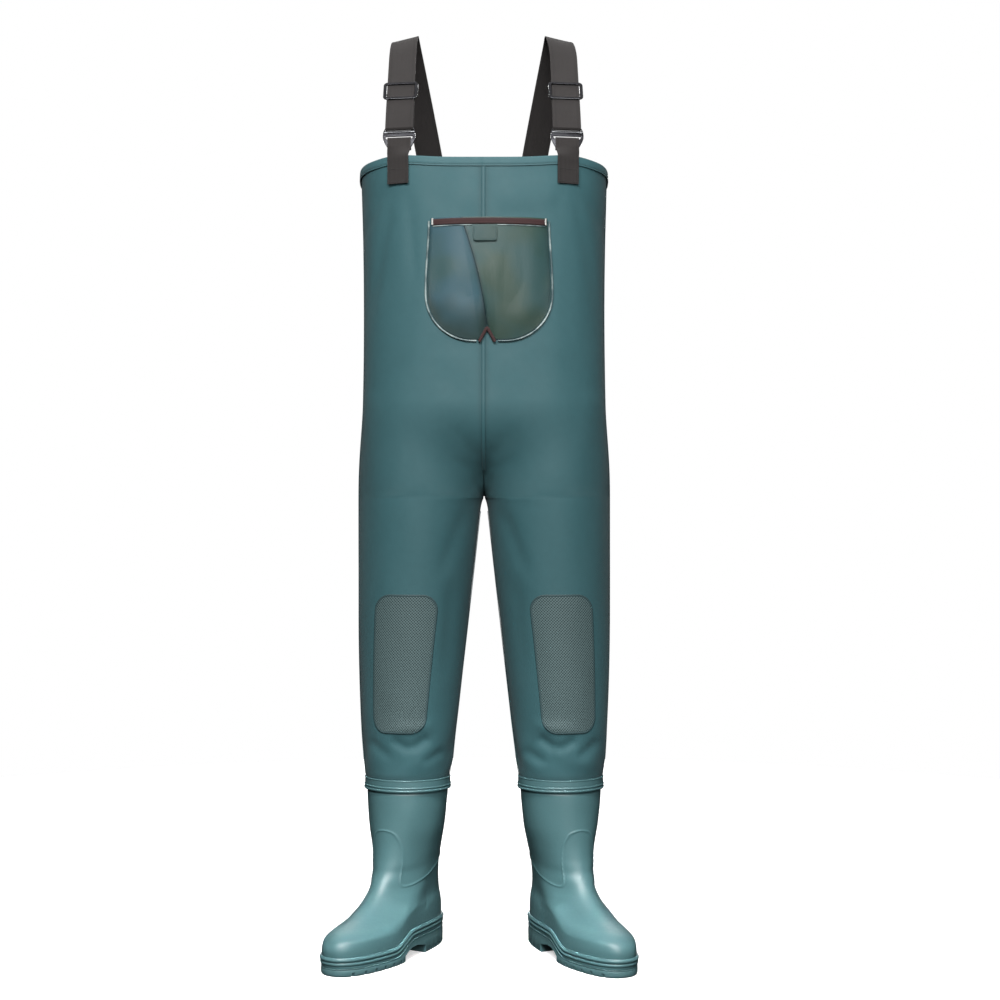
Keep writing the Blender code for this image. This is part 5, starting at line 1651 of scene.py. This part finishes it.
def make_strap_end(side_name):
    """The end of the strap, sewn around the slider's middle bar."""
    brace = BraceFrame(side_name)
    centre = brace.bar + brace.up * SLIDER_AT
    path = [centre - brace.out * STRAP_END_RADIUS - brace.up * 0.0018]
    path += brace.around(centre, STRAP_END_RADIUS, 8, 1)
    path.append(centre + brace.out * STRAP_END_RADIUS - brace.up * 0.0070)
    node = f"{side_name}_strap_end"
    body = f"{side_name}_slider_body"
    widths = [brace.across] * len(path)
    make_webbing(f"fine_{node}", path, widths, STRAP_WIDTH, STRAP_THICKNESS, 3, node, body)


def make_slider(side_name):
    """Tri-glide: a rounded frame in front of the strap and a middle bar behind it."""
    brace = BraceFrame(side_name)
    width, height = SLIDER_SIZE
    window = (width - 2 * SLIDER_WALL - 0.0014, height - 2 * SLIDER_WALL)
    node = f"{side_name}_slider"
    body = f"{side_name}_slider_body"
    place = brace.matrix(brace.bar + brace.up * SLIDER_AT)
    outlines = [rounded_outline(width, height, 0.0065), rounded_outline(*window, 0.003)]
    mesh = plate_mesh(f"fine_{node}", outlines, SLIDER_BAR, 0.0009)
    mesh.transform(place @ Matrix.Translation((0, 0, 0.0084)))
    link_node(node, mesh, [metal], body, smooth_angle=50)

    half = width / 2 - 0.0021
    corner = 0.0022
    path = []
    for step in range(6):
        path.append(Vector((-half, 0.0, lerp(0.0080, corner, step / 5))))
    for step in range(1, 7):
        angle = step / 6 * math.pi / 2
        path.append(Vector((-half + corner * (1 - math.cos(angle)), 0.0, corner * (1 - math.sin(angle)))))
    mirrored = [Vector((-point.x, point.y, point.z)) for point in reversed(path)]
    mesh = tube_mesh(f"{node}_bar", path + mirrored, 0.0012, 12)
    mesh.transform(place)
    link_piece(f"{node}_bar", mesh, [metal], (), body)


def ring_outline():
    """Counterclockwise outline of the ring plate: round shoulders, widest below, narrow foot."""
    right = [(0.0160, 0.0018), (0.0222, 0.0000), (0.0250, -0.0050), (0.0262, -0.0125)]
    right += [(0.0258, -0.0185), (0.0232, -0.0250), (0.0205, -0.0300), (0.0190, -0.0329)]
    left = [(-x, y) for x, y in right]
    return left + right[::-1]


def rounded_corners(outline, radius=0.0012, steps=4):
    """The outline with each corner turned into a small curve."""
    points = []
    count = len(outline)
    for index in range(count):
        here = Vector(outline[index]).to_3d()
        before = Vector(outline[index - 1]).to_3d()
        after = Vector(outline[(index + 1) % count]).to_3d()
        reach = min(radius, (before - here).length * 0.45, (after - here).length * 0.45)
        start = here + (before - here).normalized() * reach
        end = here + (after - here).normalized() * reach
        for step in range(steps + 1):
            share = step / steps
            point = start.lerp(here, share).lerp(here.lerp(end, share), share)
            points.append((point.x, point.y))
    return points


def make_ring(side_name):
    """Two-slot ring: the strap turns around its top bar and the tab holds its foot."""
    brace = BraceFrame(side_name)
    top_slot = [(-0.0225, -0.0016), (-0.0227, -0.0052), (0.0227, -0.0052), (0.0225, -0.0016)]
    low_slot = [(-0.0222, -0.0146), (-0.0205, -0.0190), (0.0205, -0.0190), (0.0222, -0.0146)]
    outlines = [rounded_corners(ring_outline(), 0.0040, 6)]
    outlines += [rounded_corners(top_slot), rounded_corners(low_slot)]
    node = f"{side_name}_ring"
    mesh = plate_mesh(f"fine_{node}", outlines, RING_THICKNESS, 0.0008)
    place = brace.matrix(brace.bar, STRAP_TILT - RING_TILT)
    mesh.transform(place)
    body = f"{side_name}_ring_body"
    link_node(node, mesh, [metal], body, smooth_angle=50)

    path = [Vector((lerp(-0.0238, 0.0238, step / 12), RIB_Y, RING_THICKNESS / 2)) for step in range(13)]
    mesh = tube_mesh(f"{node}_rib", path, RIB_RADIUS, 14)
    mesh.transform(place)
    link_piece(f"{node}_rib", mesh, [metal], (), body)


def make_front_tab(side_name):
    """Webbing tab: sewn to the bib, up around the ring's foot and down behind it."""
    brace = BraceFrame(side_name)
    ring = brace.matrix(brace.bar, STRAP_TILT - RING_TILT)
    hold = RING_THICKNESS / 2 + 0.0011 + TAB_THICKNESS / 2
    crest = -0.0190 - 0.0006
    path = [Vector((0, -0.0370, -hold + 0.0005)), Vector((0, -0.0300, -hold))]
    for step in range(9):
        angle = math.pi - step / 8 * math.pi
        path.append(Vector((0, crest + hold * math.sin(angle) - 0.0010, hold * math.cos(angle))))
    path.append(Vector((0, -0.0335, hold)))
    path = [ring @ point for point in path]
    widths = [brace.across] * len(path)

    x = brace.bar.x
    u = chest_u(x, 1.26)
    normal = body_normal(brace.side, FRONT, u, 2.95)
    normal = Vector((normal.x, normal.y, 0.0)).normalized()
    across = Vector((-normal.y, normal.x, 0.0))
    surface = Vector((x, -chest_depth(x, RIM_Z), 0.0))
    low_lift = GAP * 2 + HEM_PLY + TAB_THICKNESS / 2 + 0.0006
    places = ((1.2745, low_lift + 0.0004), (1.2600, low_lift), (1.2450, low_lift), (TAB_BOTTOM_Z, low_lift))
    for z, lift in places:
        path.append(surface + normal * lift + Vector((0, 0, z)))
        widths.append(across)
    node = f"{side_name}_front_tab"
    piece = make_webbing(f"fine_{node}", path, widths, TAB_WIDTH, TAB_THICKNESS, 5, node, None)
    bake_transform(piece)

    seam_lift = low_lift + TAB_THICKNESS / 2 + 0.0001
    half = TAB_WIDTH / 2 - 0.0028
    corners = [(-half, TAB_BOTTOM_Z + 0.003), (half, TAB_BOTTOM_Z + 0.003), (half, 1.2530), (-half, 1.2530)]
    run = []
    for (x0, z0), (x1, z1) in zip(corners, corners[1:] + corners[:1]):
        for step in range(12):
            share = step / 12
            place = surface + across * lerp(x0, x1, share) + normal * seam_lift
            run.append((Vector((place.x, place.y, lerp(z0, z1, share))), normal))
    run.append(run[0])
    sew(f"{side_name}_tab_stitches", run, 0.0026, 0.0003, dark_thread)


# ---------------------------------------------------------------- studio

FLOOR_RADIUS = 2.3
FLOOR_GLOW = 0.5
FILL_LIGHT = 0.035
# Name, place, target, size and power in watts of each softbox, and its spread in degrees.
SOFTBOXES = (
    ("key", (-0.4, -3.3, 2.8), (0.0, 0.0, 0.9), (2.4, 1.0), 210.0, 180.0),
    ("front", (0.9, -3.8, 1.6), (0.0, 0.0, 1.0), (1.4, 1.0), 66.0, 180.0),
    ("boots", (-0.05, -1.2, 1.9), (0.0, -0.16, 0.03), (0.4, 0.4), 1.7, 14.0),
    ("overhead", (0.0, -0.2, 3.6), (0.0, 0.0, 0.0), (3.4, 3.4), 60.0, 180.0),
    ("back", (0.0, 3.8, 2.2), (0.0, 0.0, 0.8), (1.6, 1.0), 130.0, 180.0),
)
CAMERA_PLACE = (0.0325, -3.0764, 0.734)
CAMERA_LENS = 68.0


def make_floor():
    """A pale disc that is seen but throws no light back onto the waders."""
    graph = Graph("studio_floor")
    clouds = graph.noise(0.8, 3.0)
    base = graph.mix(clouds, (0.90, 0.90, 0.90, 1.0), (0.93, 0.93, 0.93, 1.0))
    graph.set(Base_Color=base, Roughness=0.85, Specular_IOR_Level=0.2)
    graph.set(Emission_Color=(1.0, 1.0, 1.0, 1.0), Emission_Strength=FLOOR_GLOW)
    bm = bmesh.new()
    bmesh.ops.create_circle(bm, cap_ends=True, segments=96, radius=FLOOR_RADIUS)
    mesh = bpy.data.meshes.new("studio_floor")
    bm.to_mesh(mesh)
    bm.free()
    mesh.materials.append(graph.material)
    floor = bpy.data.objects.new("studio_floor", mesh)
    floor.location.z = -0.0004
    floor.visible_diffuse = False
    floor.visible_glossy = False
    bpy.context.scene.collection.objects.link(floor)


def add_softbox(name, place, target, size, power, spread):
    lamp = bpy.data.lights.new(name, "AREA")
    lamp.shape = "RECTANGLE"
    lamp.size, lamp.size_y = size
    lamp.energy = power
    lamp.spread = math.radians(spread)
    holder = bpy.data.objects.new(name, lamp)
    holder.location = place
    holder.rotation_euler = (Vector(target) - Vector(place)).to_track_quat("-Z", "Y").to_euler()
    bpy.context.scene.collection.objects.link(holder)


def add_background(tree, strength):
    node = tree.nodes.new("ShaderNodeBackground")
    node.inputs["Color"].default_value = (1.0, 1.0, 1.0, 1.0)
    node.inputs["Strength"].default_value = strength
    return node.outputs[0]


def light_studio():
    world = bpy.data.worlds.new("studio")
    world.use_nodes = True
    tree = world.node_tree
    tree.nodes.clear()
    seen = tree.nodes.new("ShaderNodeLightPath").outputs["Is Camera Ray"]
    backdrop = add_background(tree, 1.0)
    fill = add_background(tree, FILL_LIGHT)
    mixed = tree.nodes.new("ShaderNodeMixShader")
    tree.links.new(seen, mixed.inputs[0])
    tree.links.new(fill, mixed.inputs[1])
    tree.links.new(backdrop, mixed.inputs[2])
    output = tree.nodes.new("ShaderNodeOutputWorld")
    tree.links.new(mixed.outputs[0], output.inputs[0])
    bpy.context.scene.world = world
    bpy.context.scene.view_settings.view_transform = "Standard"
    for softbox in SOFTBOXES:
        add_softbox(*softbox)


def make_camera():
    camera = bpy.data.cameras.new("camera")
    camera.lens = CAMERA_LENS
    camera.sensor_width = 36.0
    holder = bpy.data.objects.new("camera", camera)
    holder.location = CAMERA_PLACE
    holder.rotation_euler = (math.pi / 2, 0.0, 0.0)
    bpy.context.scene.collection.objects.link(holder)
    bpy.context.scene.camera = holder


make_camera()
light_studio()
make_floor()

make_hem()
for side_name in SIDES:
    make_panel(side_name, "front", 72, 320)
    make_panel(side_name, "back", 56, 240)
make_centre_seam(FRONT, "front_center_seam")
make_centre_seam(BACK, "back_center_seam")
make_centre_tape()
for side_name in SIDES:
    for inside in (False, True):
        make_leg_seam(side_name, "side_seam", 1.0, CUFF_TOP_V, HEM_V, inside)
        make_leg_seam(side_name, "inseam", 0.0, CUFF_TOP_V, INSEAM_TOP_V, inside)

make_pocket_panel("left", pocket_blue)
make_pocket_panel("right", pocket_green)
make_pocket_binding()
make_notch_binding()
make_pocket_tab()
for side_name in SIDES:
    make_pocket_piping(side_name)
    make_bar_tack(side_name)

for side_name in SIDES:
    make_knee_patch(side_name)
    make_boot_shell(side_name)
    make_cuff_band(side_name)
    make_rand(side_name)
    make_outsole(side_name)
    make_insole(side_name)
    make_shoulder_strap(side_name)
    make_strap_return(side_name)
    make_strap_end(side_name)
    make_slider(side_name)
    make_ring(side_name)
    make_front_tab(side_name)
